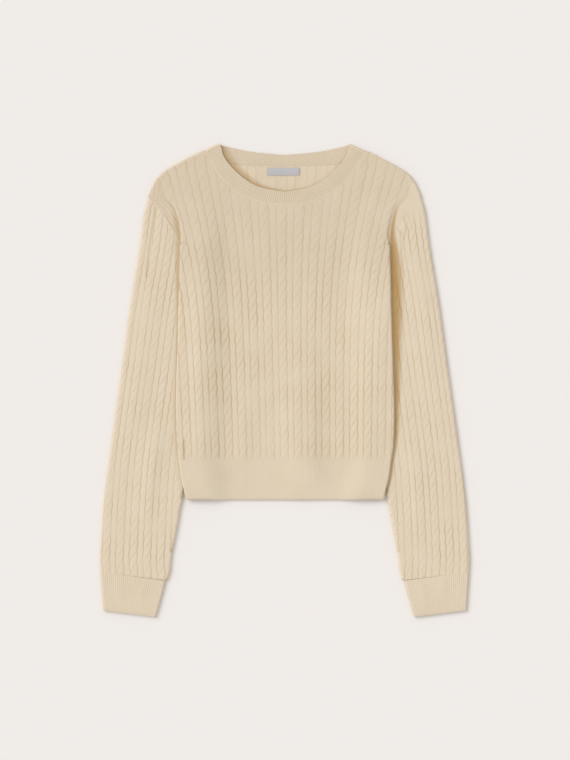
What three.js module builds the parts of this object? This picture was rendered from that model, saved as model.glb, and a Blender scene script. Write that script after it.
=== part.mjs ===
import * as THREE from 'three';

// A cropped crew-neck sweater in a fine cable knit, laid flat on its back, with both sleeves drawn down
// beside the body and tucked a little way under it. Millimetres: +X to the viewer's right, +Y towards
// the neck, +Z up out of the front. The underside rests on z = 0. Left and right are the viewer's.

// The cloth and how its layers lie
const clothThickness = 2.2;
const halfCloth = clothThickness / 2;
const seamGap = 0.3;
const neckSeamGap = 0.9; // across the neck seam, from the panels' nodes: their chords come nearer
const armholeGap = 1.2; // the same across the armhole, along x
const bodyBend = 1.4; // mid-surface radius where the front turns under at its sides
const sleeveBend = 1.9; // mid-surface radius along a sleeve's two folded edges
const tuckRise = 6.5; // height that the body climbs to lie over a tucked sleeve edge
const tuckSlope = 25; // width of that climb
const sideSlopeStart = 72; // where the front starts to climb, in from its side
const sideSlope = 40; // width of the front's climb
const tuckInset = 1; // the climb over a tucked sleeve ends this far in from the sleeve's edge
const creaseStepWidth = 8; // width of the front's step down to the sleeve beside the armhole
const cornerSink = { share: 0.3, length: 18 }; // how far the hem's corners sink below the tucked sleeve
const bodyLayer = halfCloth + 2 * bodyBend; // resting height of the front's mid-surface
const sleeveLayer = halfCloth + 2 * sleeveBend; // the same for a sleeve's upper layer

// The cable pattern
const cableHeight = 1.5;
const crossingPitch = 17.5; // length of knitting from one cable crossing to the next
const lowestCrossing = -107;
const cableHalfShare = 0.3; // half of a cable's width, as a share of the repeat
const cableLean = 0.11; // how far the raised strand wanders each side of the cable's middle
const flatRibHeight = 0.2;
const sleeveRepeat = 20.5; // width of one cable and one flat rib on a sleeve

// The fine ribs of hem, cuffs and neckband
const ribPitch = 3;
const stepsPerRib = 2; // one step along the rib's top and one beside it
const weltRibHeight = 0.35;
const bandRibHeight = 0.8;

// Where the panels start and end
const hemTop = -119;
const hemBottom = -178.5;
const underarmY = 165;
const turnTopY = 205; // above this the front meets the sleeve edge to edge
const turnFullY = 196.4; // below this the front's side makes its whole half turn
const tuckEndY = -162; // where the sleeve comes out from under the hem
const neckPointX = 95.7;
const shoulderPointX = 203.7;
const shoulderPointY = 277;
const bandShoulderX = 120.6; // where the neckband's seam crosses the shoulder
const bandTurnX = 119.3; // where the neckband starts to turn down to the back
const neckTurnOut = { x: 0.48, y: 0.877 }; // the way it bulges there
const frontBandRibs = 85;
const frontCableReach = 8; // cables each side of the front's middle one
const plainAboveHem = 1; // height over the hem at which the front's relief starts
const sideSeamGap = 0.6; // across the side seam, under the body
const sleeveCables = 6;
const sleeveRowsFrom = -287;
const sleeveRowsTo = 296;
const cuffRibWidth = 80; // width of a cuff's upper face that its ribs are counted on

// Front's folded side edge
const bodySide = [
  { y: -178.5, x: 148 },
  { y: -161, x: 152 },
  { y: -143, x: 156 },
  { y: -121, x: 159 },
  { y: -97, x: 162 },
  { y: -48, x: 163.4 },
  { y: 19, x: 162 },
  { y: 76, x: 160 },
  { y: 173, x: 157.5 },
  { y: 203, x: 157 },
];

// Armhole seam, from the underarm up to the shoulder point
const armhole = [
  { y: 165, x: 142 },
  { y: 185, x: 149 },
  { y: 205, x: 156 },
  { y: 222, x: 163 },
  { y: 239, x: 174 },
  { y: 253, x: 183 },
  { y: 263, x: 193 },
  { y: 270, x: 200 },
  { y: 277, x: 204 },
];

// Side seam between front and back, which lies under the body
const sideSeam = [
  { y: -178.5, x: 126 },
  { y: -150, x: 124 },
  { y: -119, x: 119 },
  { y: -90, x: 115 },
  { y: -50, x: 111 },
  { y: 0, x: 109 },
  { y: 100, x: 110 },
  { y: 125, x: 114 },
  { y: 142, x: 124 },
  { y: 155, x: 134 },
  { y: 165, x: 142 },
];

// Shoulder edge, from the neck point out to the shoulder point
const shoulderLine = [
  { x: 97, y: 355 },
  { x: 129, y: 343 },
  { x: 162, y: 325 },
  { x: 181, y: 313 },
  { x: 193, y: 301 },
  { x: 199, y: 289 },
  { x: 204, y: 277 },
];

// Sleeve's two edges, down to the cuff
const sleeveOuter = [
  { y: -299, x: 276 },
  { y: -287, x: 276 },
  { y: -269, x: 277 },
  { y: -251, x: 276 },
  { y: -179, x: 271 },
  { y: -89, x: 259 },
  { y: 19, x: 244 },
  { y: 121, x: 230 },
  { y: 199, x: 217 },
  { y: 253, x: 210 },
  { y: 271, x: 205 },
  { y: 277, x: 204 },
];
const sleeveInner = [
  { y: -299, x: 179 },
  { y: -269, x: 172.5 },
  { y: -233, x: 166 },
  { y: -197, x: 159 },
  { y: -179, x: 156 },
  { y: -162, x: 152 },
  { y: -143, x: 149 },
  { y: -119, x: 145 },
  { y: -90, x: 141 },
  { y: -50, x: 137 },
  { y: 0, x: 135 },
  { y: 40, x: 135 },
  { y: 100, x: 136 },
  { y: 140, x: 138 },
  { y: 165, x: 142 },
];

// Seam of the neckband with the front, its free front edge, and the same two edges at the back
const frontNeckSeam = [
  { x: 0, y: 262 },
  { x: 21, y: 263 },
  { x: 48.5, y: 270 },
  { x: 67, y: 278 },
  { x: 86, y: 293 },
  { x: 101, y: 310 },
  { x: 112, y: 329 },
  { x: 120.6, y: 342 },
];
const frontNeckEdge = [
  { x: 0, y: 283 },
  { x: 30, y: 288 },
  { x: 48.5, y: 295 },
  { x: 67, y: 308 },
  { x: 82, y: 323 },
  { x: 92, y: 338 },
  { x: 95.7, y: 351.6 },
];
const backNeckSeam = [
  { x: 0, y: 320.6 },
  { x: 75, y: 323 },
  { x: 98, y: 331 },
  { x: 120.6, y: 342 },
];
const backNeckEdge = [
  { x: 0, y: 338 },
  { x: 51, y: 343 },
  { x: 76, y: 348 },
  { x: 95.7, y: 351.6 },
];

// Cable repeats across the front: they fan out towards the shoulders
const frontRepeats = [
  { y: -104, width: 20.7, middle: -0.6 },
  { y: 68, width: 21.6, middle: -3.5 },
  { y: 149, width: 22.9, middle: -4.3 },
  { y: 211, width: 24.9, middle: -4.8 },
  { y: 271, width: 27.6, middle: -5.2 },
  { y: 323, width: 30.3, middle: -5.2 },
];

// The crease beside each armhole, inside which the front lies higher, and how much higher
const armholeCrease = [
  { y: 200, x: 157, rise: tuckRise },
  { y: 222, x: 157, rise: 4.6 },
  { y: 244, x: 161, rise: 3.2 },
  { y: 262, x: 168, rise: 2 },
  { y: 274, x: 180, rise: 1.4 },
  { y: 286, x: 187, rise: 1 },
];

// How far in from a sleeve's outer edge its first cable lies
const sleeveWales = [
  { t: -284, firstCable: 8.9 },
  { t: -179, firstCable: 7 },
  { t: -104, firstCable: 3.3 },
  { t: 60, firstCable: 2.6 },
];
const rowSlope = 0.124; // a sleeve's rows fall by this share of their length, going inwards

// Cuff's corners: share 0 is the seam with the sleeve, share 1 the free edge
const cuffEdges = [
  { share: 0, outerX: 276, outerY: -287.5, innerX: 179, innerY: -299.5 },
  { share: 0.4, outerX: 274.5, outerY: -310, innerX: 184.5, innerY: -322 },
  { share: 1, outerX: 272, outerY: -345, innerX: 193.5, innerY: -354 },
];

// Steps of the meshes, which set how finely each face follows its form
const smallestStep = 2; // nodes closer than this to an edge are drawn onto it
const fineTurnStops = [0.33, 0.67]; // shares of a half turn, on outer faces
const coarseTurnStops = [0.5]; // the same on inner faces
const turnRows = [199.5, 202.3]; // where the front's turned side opens out below the armhole
const frontRowsTo = 352;
const aboveShoulder = 360; // a last row that no column reaches: each stops at the panel's edge
const frontInnerMargin = 5;
const frontInnerRowsBelow = [-109, -50, 10, 70, 120, 150, 175, turnFullY];
const frontInnerRowsAbove = [206, 222, 244, 262, 280, 305, 330, aboveShoulder];
const frontInnerShares = [0, 0.3, 0.5, 0.58, 0.66, 0.74, 0.82, 0.92];
const backSteps = { sideSeam: 9, armhole: 7, neck: 10 };
const hemMiddleRow = -158;
const hemInnerSteps = 24;
const hemUnderStops = [1, 9, 17, 26]; // places under the hem, in from the tucked sleeve's edge
const aboveSleeve = 310; // a last row that no column of a sleeve reaches
const sleeveInnerMargin = 6;
const sleeveInnerRows = [
  -279, -240, -190, -140, -80, -20, 40, 100, 150, 175, 195, 215, 235, 255, 275, aboveSleeve,
];
const sleeveInnerShares = [0.8, 0.6, 0.4, 0.2];
const sleeveLowerShares = [0.5];
const cuffRowShares = [1, 0.5, 0];
const cuffInnerSteps = 6;
const bandSteps = { backOuter: 20, frontInner: 24, backInner: 12 };
const edgePasses = 40; // rounds of drawing a column's last node onto the panel's edge
const firstSleeveTop = 240; // where that starts on a sleeve
const halvingPasses = 20; // rounds of halving, when a height is looked up on the armhole
const curveSamples = 600; // when a curve is parted into equal lengths

// Largest soft folds of the front: a swelling at x, y, with its half-width, half-length and height
const frontSwells = [
  { name: 'left side', x: -122, y: 20, halfWidth: 22, halfLength: 190, height: 1.8 },
  { name: 'middle', x: 2, y: -30, halfWidth: 30, halfLength: 180, height: 1.6 },
  { name: 'right side', x: 118, y: 40, halfWidth: 30, halfLength: 170, height: 2 },
  { name: 'chest', x: -30, y: 200, halfWidth: 60, halfLength: 45, height: 0.8 },
];

// The front's swells die out this far in from its side, over this width
const frontSwellEnd = { inset: 6, width: 20 };

// Largest soft folds of a sleeve, by the distance in from its outer edge
const sleeveSwells = [
  { name: 'outer side', inward: 30, y: 40, halfWidth: 18, halfLength: 150, height: 1.4 },
  { name: 'elbow', inward: 60, y: -150, halfWidth: 16, halfLength: 70, height: 1.2 },
  { name: 'upper arm', inward: 35, y: 220, halfWidth: 22, halfLength: 50, height: 1 },
];

// A sleeve's swells start beside the body, and die out towards the cuff and the armhole
const sleeveSwellStart = { outset: 4, width: 16 };
const sleeveSwellEnd = { bottom: -285, aboveCuff: 30, belowArmhole: 25 };
const sleeveReliefStart = { outset: 2, width: 5 }; // its knit relief starts beside the body too

// The label under the back of the neckband
const labelWidth = 48;
const labelHeight = 11.4;
const labelMiddleX = -2;
const labelMiddleY = 313.2;
const labelThickness = 0.6;

// A smooth curve through a table's rows: the column "of" where the column "by" has the value "at"
function follow(table, by, of, at) {
  const last = table.length - 1;
  if (at <= table[0][by]) {
    return table[0][of];
  }
  if (at >= table[last][by]) {
    return table[last][of];
  }
  let k = 0;
  while (table[k + 1][by] < at) {
    k += 1;
  }
  const slopeAt = (i) => {
    const before = table[Math.max(i - 1, 0)];
    const after = table[Math.min(i + 1, last)];
    return (after[of] - before[of]) / (after[by] - before[by]);
  };
  const span = table[k + 1][by] - table[k][by];
  const t = (at - table[k][by]) / span;
  const t2 = t * t;
  const t3 = t2 * t;
  return (2 * t3 - 3 * t2 + 1) * table[k][of]
    + (t3 - 2 * t2 + t) * span * slopeAt(k)
    + (3 * t2 - 2 * t3) * table[k + 1][of]
    + (t3 - t2) * span * slopeAt(k + 1);
}

function ease(t) {
  const held = Math.min(Math.max(t, 0), 1);
  return held * held * (3 - 2 * held);
}

function swelling(folds, acrossKey, across, y) {
  let height = 0;
  for (const fold of folds) {
    const dx = (across - fold[acrossKey]) / fold.halfWidth;
    const dy = (y - fold.y) / fold.halfLength;
    height += fold.height * Math.exp(-dx * dx - dy * dy);
  }
  return height;
}

// Closed solids are gathered as shared points and triangles
function newSolid() {
  return { points: [], faces: [], places: new Map() };
}

function placeOf(solid, point) {
  const key = [point.x, point.y, point.z].map((value) => Math.round(value * 1000)).join(' ');
  if (!solid.places.has(key)) {
    solid.places.set(key, solid.points.length / 3);
    solid.points.push(point.x, point.y, point.z);
  }
  return solid.places.get(key);
}

// A triangle that has closed up to a line is left out
function addFace(solid, a, b, c) {
  const [i, j, k] = [a, b, c].map((point) => placeOf(solid, point));
  if (i !== j && j !== k && k !== i) {
    solid.faces.push(i, j, k);
  }
}

function addGrid(solid, grid, surface, facesUp) {
  for (let r = 0; r + 1 < grid.length; r += 1) {
    for (let c = 0; c + 1 < grid[r].length; c += 1) {
      const corners = [grid[r][c], grid[r][c + 1], grid[r + 1][c + 1], grid[r + 1][c]];
      const [a, b, d, e] = corners.map((node) => node[surface]);
      if (facesUp) {
        addFace(solid, a, b, d);
        addFace(solid, a, d, e);
      } else {
        addFace(solid, a, d, b);
        addFace(solid, a, e, d);
      }
    }
  }
}

// Joins two runs of nodes that follow each other, in step with a value that rises along both
function addStrip(solid, runA, surfaceA, runB, surfaceB, valueOf) {
  let i = 0;
  let j = 0;
  while (i + 1 < runA.length || j + 1 < runB.length) {
    const bIsDone = j + 1 === runB.length;
    const aIsNext = i + 1 < runA.length && (bIsDone || valueOf(runA[i + 1]) <= valueOf(runB[j + 1]));
    if (aIsNext) {
      addFace(solid, runA[i][surfaceA], runB[j][surfaceB], runA[i + 1][surfaceA]);
      i += 1;
    } else {
      addFace(solid, runA[i][surfaceA], runB[j][surfaceB], runB[j + 1][surfaceB]);
      j += 1;
    }
  }
}

function sidesOf(grid) {
  return [
    { run: grid[0], valueOf: (node) => node.s },
    { run: grid.map((row) => row[row.length - 1]), valueOf: (node) => node.t },
    { run: [...grid[grid.length - 1]].reverse(), valueOf: (node) => -node.s },
    { run: grid.map((row) => row[0]).reverse(), valueOf: (node) => -node.t },
  ];
}

// A piece that was laid out for the other side has its triangles turned round
function closed(solid, turnedRound = false) {
  const faces = turnedRound ? [...solid.faces].reverse() : solid.faces;
  const geometry = new THREE.BufferGeometry();
  geometry.setAttribute('position', new THREE.Float32BufferAttribute(solid.points, 3));
  geometry.setIndex(faces);
  geometry.computeVertexNormals();
  return geometry;
}

// A panel: a fine outer face, a plain inner face that is coarse inside its edges, and a cut edge round it
function panelWall(fine, coarse) {
  const solid = newSolid();
  addGrid(solid, fine, 'outer', true);
  addGrid(solid, coarse, 'inner', false);
  const fineSides = sidesOf(fine);
  const coarseSides = sidesOf(coarse);
  fineSides.forEach((side, k) => {
    addStrip(solid, side.run, 'outer', side.run, 'inner', side.valueOf);
    addStrip(solid, side.run, 'inner', coarseSides[k].run, 'inner', side.valueOf);
  });
  return solid;
}

// A tube whose rows run once round and end on their first node: the same, with two cut ends. Where
// the coarse rows reach the ends themselves, the cut ends go straight to them
function tubeWall(fine, coarse, coarseReachesEnds) {
  const solid = newSolid();
  addGrid(solid, fine, 'outer', true);
  addGrid(solid, coarse, 'inner', false);
  const ends = [0, 2];
  for (const end of ends) {
    const { run, valueOf } = sidesOf(fine)[end];
    const coarseRun = sidesOf(coarse)[end].run;
    if (coarseReachesEnds) {
      addStrip(solid, run, 'outer', coarseRun, 'inner', valueOf);
    } else {
      addStrip(solid, run, 'outer', run, 'inner', valueOf);
      addStrip(solid, run, 'inner', coarseRun, 'inner', valueOf);
    }
  }
  return solid;
}

// Height of the cable knit over the plain cloth, at a count of repeats across and a length along.
// The way is 1 where the repeats are counted to the right, and -1 where they are counted to the left
function cableRelief(repeat, along, way = 1) {
  const share = repeat - Math.round(repeat);
  const rise = 1 - Math.abs(share - way * leanAt(along)) / cableHalfShare;
  return Math.max(flatRibHeight, cableHeight * rise);
}

// The raised strand runs from the cable's left to its right at each crossing
function leanAt(along) {
  const turns = (along - lowestCrossing) / crossingPitch + 0.5;
  return cableLean * (turns - Math.floor(turns) < 0.5 ? -1 : 1);
}

// Rows of a cable knit: one before and one after each crossing
function cableRows(from, to) {
  const rows = [from];
  const step = crossingPitch / 2;
  const first = lowestCrossing - step / 2;
  for (let n = Math.ceil((from + step / 3 - first) / step); first + n * step < to; n += 1) {
    rows.push(first + n * step);
  }
  return rows;
}

// How high the body's lower layer is lifted off the ground by the sleeve edge tucked under it
function tuckLift(x, y) {
  const sleeveEdge = follow(sleeveInner, 'y', 'x', Math.max(y, tuckEndY));
  const edge = y > underarmY ? follow(armhole, 'y', 'x', y) : sleeveEdge;
  const climb = ease((Math.abs(x) - (edge - tuckSlope - tuckInset)) / tuckSlope);
  return tuckRise * climb * cornerDroop(y);
}

// Below the tucked sleeve the hem's corners sink towards the ground
function cornerDroop(y) {
  return 1 - cornerSink.share * ease((tuckEndY - y) / cornerSink.length);
}

function frontEdge(y) {
  if (y < turnTopY) {
    return follow(bodySide, 'y', 'x', y);
  }
  return follow(armhole, 'y', 'x', y) - armholeGap;
}

// Height of the front's mid-surface: low in the middle, high along the sides over the tucked sleeves,
// with a step down to the sleeve along the crease beside the armhole
function frontHeight(x, y) {
  const out = Math.abs(x);
  const creaseX = y < turnTopY ? frontEdge(y) : follow(armholeCrease, 'y', 'x', y);
  const rise = follow(armholeCrease, 'y', 'rise', y) * cornerDroop(y);
  const climb = ease((out - (creaseX - sideSlopeStart)) / sideSlope);
  const opened = ease((y - turnFullY) / (turnTopY - turnFullY));
  const step = ease((out - (creaseX - creaseStepWidth)) / creaseStepWidth) * opened;
  const inside = ease((frontEdge(y) - frontSwellEnd.inset - out) / frontSwellEnd.width);
  const swell = swelling(frontSwells, 'x', x, y) * inside;
  return bodyLayer + swell + rise * climb * (1 - step) + (sleeveLayer - bodyLayer) * step;
}

// A node holds its place on both faces, and s across and t along for joining runs of nodes
function flatNode(x, y, height, s, t, relief) {
  return {
    s,
    t,
    outer: { x, y, z: height + halfCloth + relief },
    inner: { x, y, z: height - halfCloth },
  };
}

// Under a turned edge the cloth's outer face looks down
function underNode(x, y, height, s, t) {
  return {
    s,
    t,
    outer: { x, y, z: height - halfCloth },
    inner: { x, y, z: height + halfCloth },
  };
}

// Cloth turning under about a centre line: angle 0 is on top, half a turn is underneath
function turnNode(centre, outward, radius, angle, s, t) {
  const at = (distance) => ({
    x: centre.x + outward.x * distance * Math.sin(angle),
    y: centre.y + outward.y * distance * Math.sin(angle),
    z: centre.z + distance * Math.cos(angle),
  });
  return { s, t, outer: at(radius + halfCloth), inner: at(radius - halfCloth) };
}

// Distance from the middle line at which the front starts to turn under
function frontBend(y) {
  return y < turnTopY ? frontEdge(y) - bodyBend - halfCloth : frontEdge(y);
}

// The share of a half turn that the front makes at its side: none up at the armhole, all lower down
function turnShare(y) {
  return Math.min(Math.max((turnTopY - y) / (turnTopY - turnFullY), 0), 1);
}

// Length of the front's cloth from the middle line out to its seam
function frontLength(y) {
  const bend = frontBend(y);
  const turned = Math.PI * bodyBend * turnShare(y);
  if (turnShare(y) < 1) {
    return bend + turned;
  }
  const seamX = y > underarmY ? follow(armhole, 'y', 'x', y) : follow(sideSeam, 'y', 'x', y);
  return bend + turned + (bend - seamX);
}

// The front, at the signed length s along its cloth from the middle line
function frontNode(s, y, relief) {
  const side = Math.sign(s);
  const along = Math.abs(s);
  const bend = frontBend(y);
  const halfTurn = Math.PI * bodyBend;
  if (along <= bend) {
    return flatNode(s, y, frontHeight(s, y), s, y, relief);
  }
  if (along <= bend + halfTurn) {
    const centre = { x: side * bend, y, z: frontHeight(side * bend, y) - bodyBend };
    return turnNode(centre, { x: side, y: 0 }, bodyBend, (along - bend) / bodyBend, s, y);
  }
  const x = side * (2 * bend + halfTurn - along);
  return underNode(x, y, halfCloth + tuckLift(x, y), s, y);
}

// The panel's edge, set square to the neckband's seam
function belowSeam(table, x) {
  const rise = follow(table, 'x', 'y', x + 1) - follow(table, 'x', 'y', x - 1);
  return follow(table, 'x', 'y', x) - neckSeamGap * Math.hypot(1, rise / 2);
}

function frontTop(x) {
  const out = Math.abs(x);
  if (out < bandShoulderX) {
    return belowSeam(frontNeckSeam, out);
  }
  return follow(shoulderLine, 'x', 'y', out);
}

// Places down the turned side: the share of the half turn, then of the way back to the side seam
const sideStops = [
  ...[0, ...fineTurnStops, 1].map((turned) => ({ turned, back: 0 })),
  ...[0.45, 0.72, 1].map((back) => ({ turned: 1, back })),
];

function sideRun(side, y, margin) {
  const row = Math.min(y, frontTop(shoulderPointX) - margin);
  const bend = frontBend(row);
  const halfTurn = Math.PI * bodyBend;
  const length = frontLength(row) - margin;
  return sideStops.map(({ turned, back }) => {
    const s = bend + halfTurn * turned + (frontLength(row) - bend - halfTurn) * back;
    return frontNode(side * Math.min(s, length), row, 0);
  });
}

// One column up the front. It follows its line of knitting, and stops at the panel's edges
function frontColumn(rows, xAt, shiftAt, reliefAt, margin) {
  const limitAt = (y) => Math.min(frontBend(y), frontLength(y) - margin);
  const heldX = (y, shift = 0) => {
    const limit = limitAt(y);
    const x = xAt(y) + shift;
    return Math.abs(x) > limit - smallestStep ? Math.sign(x) * limit : x;
  };
  let top = shoulderLine[shoulderLine.length - 1].y;
  for (let pass = 0; pass < edgePasses; pass += 1) {
    top = (top + frontTop(heldX(top)) - margin) / 2;
  }
  return rows.map((row) => {
    const y = row < top - smallestStep ? row : top;
    const x = heldX(y, y === top ? 0 : shiftAt(y));
    const atEdge = y === top || Math.abs(x) === limitAt(y);
    return frontNode(x, y, atEdge ? 0 : reliefAt(x, y));
  });
}

function frontGrid(rows, columns, margin) {
  return rows.map((row, r) => [
    ...sideRun(-1, row, margin).reverse(),
    ...columns.map((column) => column[r]),
    ...sideRun(1, row, margin),
  ]);
}

function makeFront() {
  const widthAt = (y) => follow(frontRepeats, 'y', 'width', y);
  const middleAt = (y) => follow(frontRepeats, 'y', 'middle', y);
  const reliefAt = (x, y) => {
    const isPlain = y <= hemTop + plainAboveHem;
    return isPlain ? 0 : cableRelief((x - middleAt(y)) / widthAt(y), y);
  };
  const cabledRows = [...cableRows(hemTop, frontRowsTo), ...turnRows, aboveShoulder];
  const fineRows = cabledRows.sort((a, b) => a - b);
  const fineColumns = [];
  for (let cable = -frontCableReach; cable <= frontCableReach; cable += 1) {
    for (const share of [-cableHalfShare, 0, cableHalfShare]) {
      const xAt = (y) => middleAt(y) + (cable + share) * widthAt(y);
      const shiftAt = (y) => (share === 0 ? leanAt(y) * widthAt(y) : 0);
      fineColumns.push(frontColumn(fineRows, xAt, shiftAt, reliefAt, 0));
    }
  }
  const margin = frontInnerMargin;
  const coarseRows = [...frontInnerRowsBelow, ...turnRows, ...frontInnerRowsAbove];
  const leftShares = frontInnerShares.slice(1).reverse().map((share) => -share);
  const coarseShares = [...leftShares, ...frontInnerShares];
  const none = () => 0;
  const coarseColumns = coarseShares.map((share) => (
    frontColumn(coarseRows, (y) => share * frontBend(y), none, none, margin)
  ));
  return panelWall(frontGrid(fineRows, fineColumns, 0), frontGrid(coarseRows, coarseColumns, margin));
}

// The back is a flat panel, except that its lowest edge meets the hem and its sides meet the front's
function makeBack() {
  const half = [];
  for (let y = hemTop + seamGap; y < underarmY; y += backSteps.sideSeam) {
    half.push({ x: follow(sideSeam, 'y', 'x', y) - sideSeamGap, y });
  }
  for (let y = underarmY; y < shoulderPointY; y += backSteps.armhole) {
    half.push({ x: follow(armhole, 'y', 'x', y) - sideSeamGap, y });
  }
  for (const { x, y } of [...shoulderLine].reverse().slice(1)) {
    if (x > bandShoulderX) {
      half.push({ x, y });
    }
  }
  for (let x = bandShoulderX; x > 0; x -= backSteps.neck) {
    half.push({ x, y: belowSeam(backNeckSeam, x) });
  }
  const outline = new THREE.Shape();
  outline.moveTo(half[0].x, half[0].y);
  half.slice(1).forEach(({ x, y }) => outline.lineTo(x, y));
  [...half].reverse().forEach(({ x, y }) => outline.lineTo(-x, y));
  return new THREE.ExtrudeGeometry(outline, { depth: clothThickness, bevelEnabled: false });
}

function ribRelief(count, height) {
  return count % 2 === 0 ? height : 0;
}

// The hem goes all round the body in one ring, on the front's own form
function makeHem() {
  const rows = [hemBottom, hemMiddleRow, hemTop - seamGap];
  const ribSteps = 2 * Math.round(frontBend(hemTop) / ribPitch) * stepsPerRib;
  const ringAt = (y, topSteps, turnStops, ribHeight) => {
    const bend = frontBend(y);
    const halfTurn = Math.PI * bodyBend;
    const ring = [];
    for (let k = 0; k <= topSteps; k += 1) {
      const relief = k % topSteps === 0 ? 0 : ribRelief(k, ribHeight);
      ring.push(frontNode(bend * (2 * k / topSteps - 1), y, relief));
    }
    turnStops.forEach((share) => ring.push(frontNode(bend + halfTurn * share, y, 0)));
    const sleeveEdge = follow(sleeveInner, 'y', 'x', Math.max(y, tuckEndY));
    const right = [bend, ...hemUnderStops.map((stop) => Math.min(sleeveEdge - stop, bend))];
    for (const x of [...right, 0, ...right.map((stop) => -stop).reverse()]) {
      ring.push(underNode(x, y, halfCloth + tuckLift(x, y), bend + halfTurn + bend - x, y));
    }
    [...turnStops].reverse().forEach((share) => {
      const node = frontNode(-(bend + halfTurn * share), y, 0);
      ring.push({ ...node, s: 3 * bend + halfTurn + halfTurn * (1 - share) });
    });
    ring.push({ ...ring[0], s: 3 * bend + 2 * halfTurn });
    return ring;
  };
  const fine = rows.map((y) => ringAt(y, ribSteps, fineTurnStops, weltRibHeight));
  const coarse = rows.map((y) => ringAt(y, hemInnerSteps, coarseTurnStops, 0));
  return tubeWall(fine, coarse, true);
}

// A sleeve, measured across from its outer edge and along that edge by t. Its rows slope down inwards
function sleeveWidth(y) {
  return follow(sleeveOuter, 'y', 'x', y) - follow(sleeveInner, 'y', 'x', y);
}

function sleeveHeight(inward, y) {
  const x = follow(sleeveOuter, 'y', 'x', y) - inward;
  const fromBody = x - follow(bodySide, 'y', 'x', y);
  const outOfBody = ease((fromBody - sleeveSwellStart.outset) / sleeveSwellStart.width);
  const aboveCuff = ease((y - sleeveSwellEnd.bottom) / sleeveSwellEnd.aboveCuff);
  const belowArmhole = ease((armholeY(x) - y) / sleeveSwellEnd.belowArmhole);
  const swell = swelling(sleeveSwells, 'inward', inward, y);
  return sleeveLayer + swell * outOfBody * aboveCuff * belowArmhole;
}

// Height up the picture at which the armhole seam stands at x
function armholeY(x) {
  let low = armhole[0].y;
  let high = armhole[armhole.length - 1].y;
  for (let pass = 0; pass < halvingPasses; pass += 1) {
    const middle = (low + high) / 2;
    if (follow(armhole, 'y', 'x', middle) + seamGap < x) {
      low = middle;
    } else {
      high = middle;
    }
  }
  return low;
}

// One column along a sleeve. inwardAt gives its distance from the outer edge, stretch its layer:
// 0 inner turn, 1 upper layer, 2 outer turn, 3 lower layer, and share how far it is through that
function sleeveColumn(side, rows, inwardAt, shiftAt, stretch, share, reliefAt, margin) {
  const turning = stretch === 0 || stretch === 2;
  const outward = stretch === 0 ? -1 : 1;
  const angle = Math.PI * (stretch === 2 ? share : 1 - share);
  const bulge = turning ? outward * (sleeveBend + halfCloth) * Math.sin(angle) : 0;
  const placeAt = (t, shift = 0) => {
    const width = sleeveWidth(t);
    const bend = sleeveBend + halfCloth;
    const asked = inwardAt(t, width, bend) + shift;
    let inward = Math.min(Math.max(asked, bend), width - bend);
    if (Math.abs(inward - bend) < smallestStep) {
      inward = bend;
    }
    if (Math.abs(inward - width + bend) < smallestStep) {
      inward = width - bend;
    }
    return { inward, width, bend, y: t - rowSlope * inward };
  };
  let top = firstSleeveTop;
  for (let pass = 0; pass < edgePasses; pass += 1) {
    const { inward, y } = placeAt(top);
    const x = follow(sleeveOuter, 'y', 'x', y) - inward + bulge;
    top += (armholeY(x) - margin - y) / 2;
  }
  return rows.map((row) => {
    const t = row < top - smallestStep ? row : top;
    const { inward, width, bend, y } = placeAt(t, t === top ? 0 : shiftAt(t));
    const x = follow(sleeveOuter, 'y', 'x', y) - inward;
    const atEdge = t === top || inward === bend || inward === width - bend;
    const upperShare = (width - bend - inward) / (width - 2 * bend);
    const height = sleeveHeight(inward, y);
    if (stretch === 1) {
      const fromBody = x - follow(bodySide, 'y', 'x', y);
      const visible = ease((fromBody - sleeveReliefStart.outset) / sleeveReliefStart.width);
      const relief = atEdge ? 0 : reliefAt(inward, t) * visible;
      return flatNode(side * x, y, height, 1 + upperShare, t, relief);
    }
    if (stretch === 3) {
      return underNode(side * x, y, halfCloth, 4 - upperShare, t);
    }
    const centre = { x: side * x, y, z: halfCloth + sleeveBend };
    return turnNode(centre, { x: side * outward, y: 0 }, sleeveBend, angle, stretch + share, t);
  });
}

function sleeveGrid(side, rows, upperColumns, turnStops, lowerShares, reliefAt, margin) {
  const innerEdge = (t, width, bend) => width - bend;
  const outerEdge = (t, width, bend) => bend;
  const still = () => 0;
  const column = (inwardAt, stretch, share, shiftAt = still) => (
    sleeveColumn(side, rows, inwardAt, shiftAt, stretch, share, reliefAt, margin)
  );
  const columns = [column(innerEdge, 0, 0)];
  turnStops.forEach((share) => columns.push(column(innerEdge, 0, share)));
  columns.push(column(innerEdge, 1, 0));
  upperColumns.forEach(({ inwardAt, shiftAt }) => columns.push(column(inwardAt, 1, 0, shiftAt)));
  columns.push(column(outerEdge, 1, 0));
  turnStops.forEach((share) => columns.push(column(outerEdge, 2, share)));
  columns.push(column(outerEdge, 2, 1));
  lowerShares.forEach((share) => {
    const inwardAt = (t, width, bend) => bend + share * (width - 2 * bend);
    columns.push(column(inwardAt, 3, 0));
  });
  columns.push(columns[0].map((node) => ({ ...node, s: 4 })));
  return rows.map((row, r) => columns.map((nodes) => nodes[r]));
}

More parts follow.
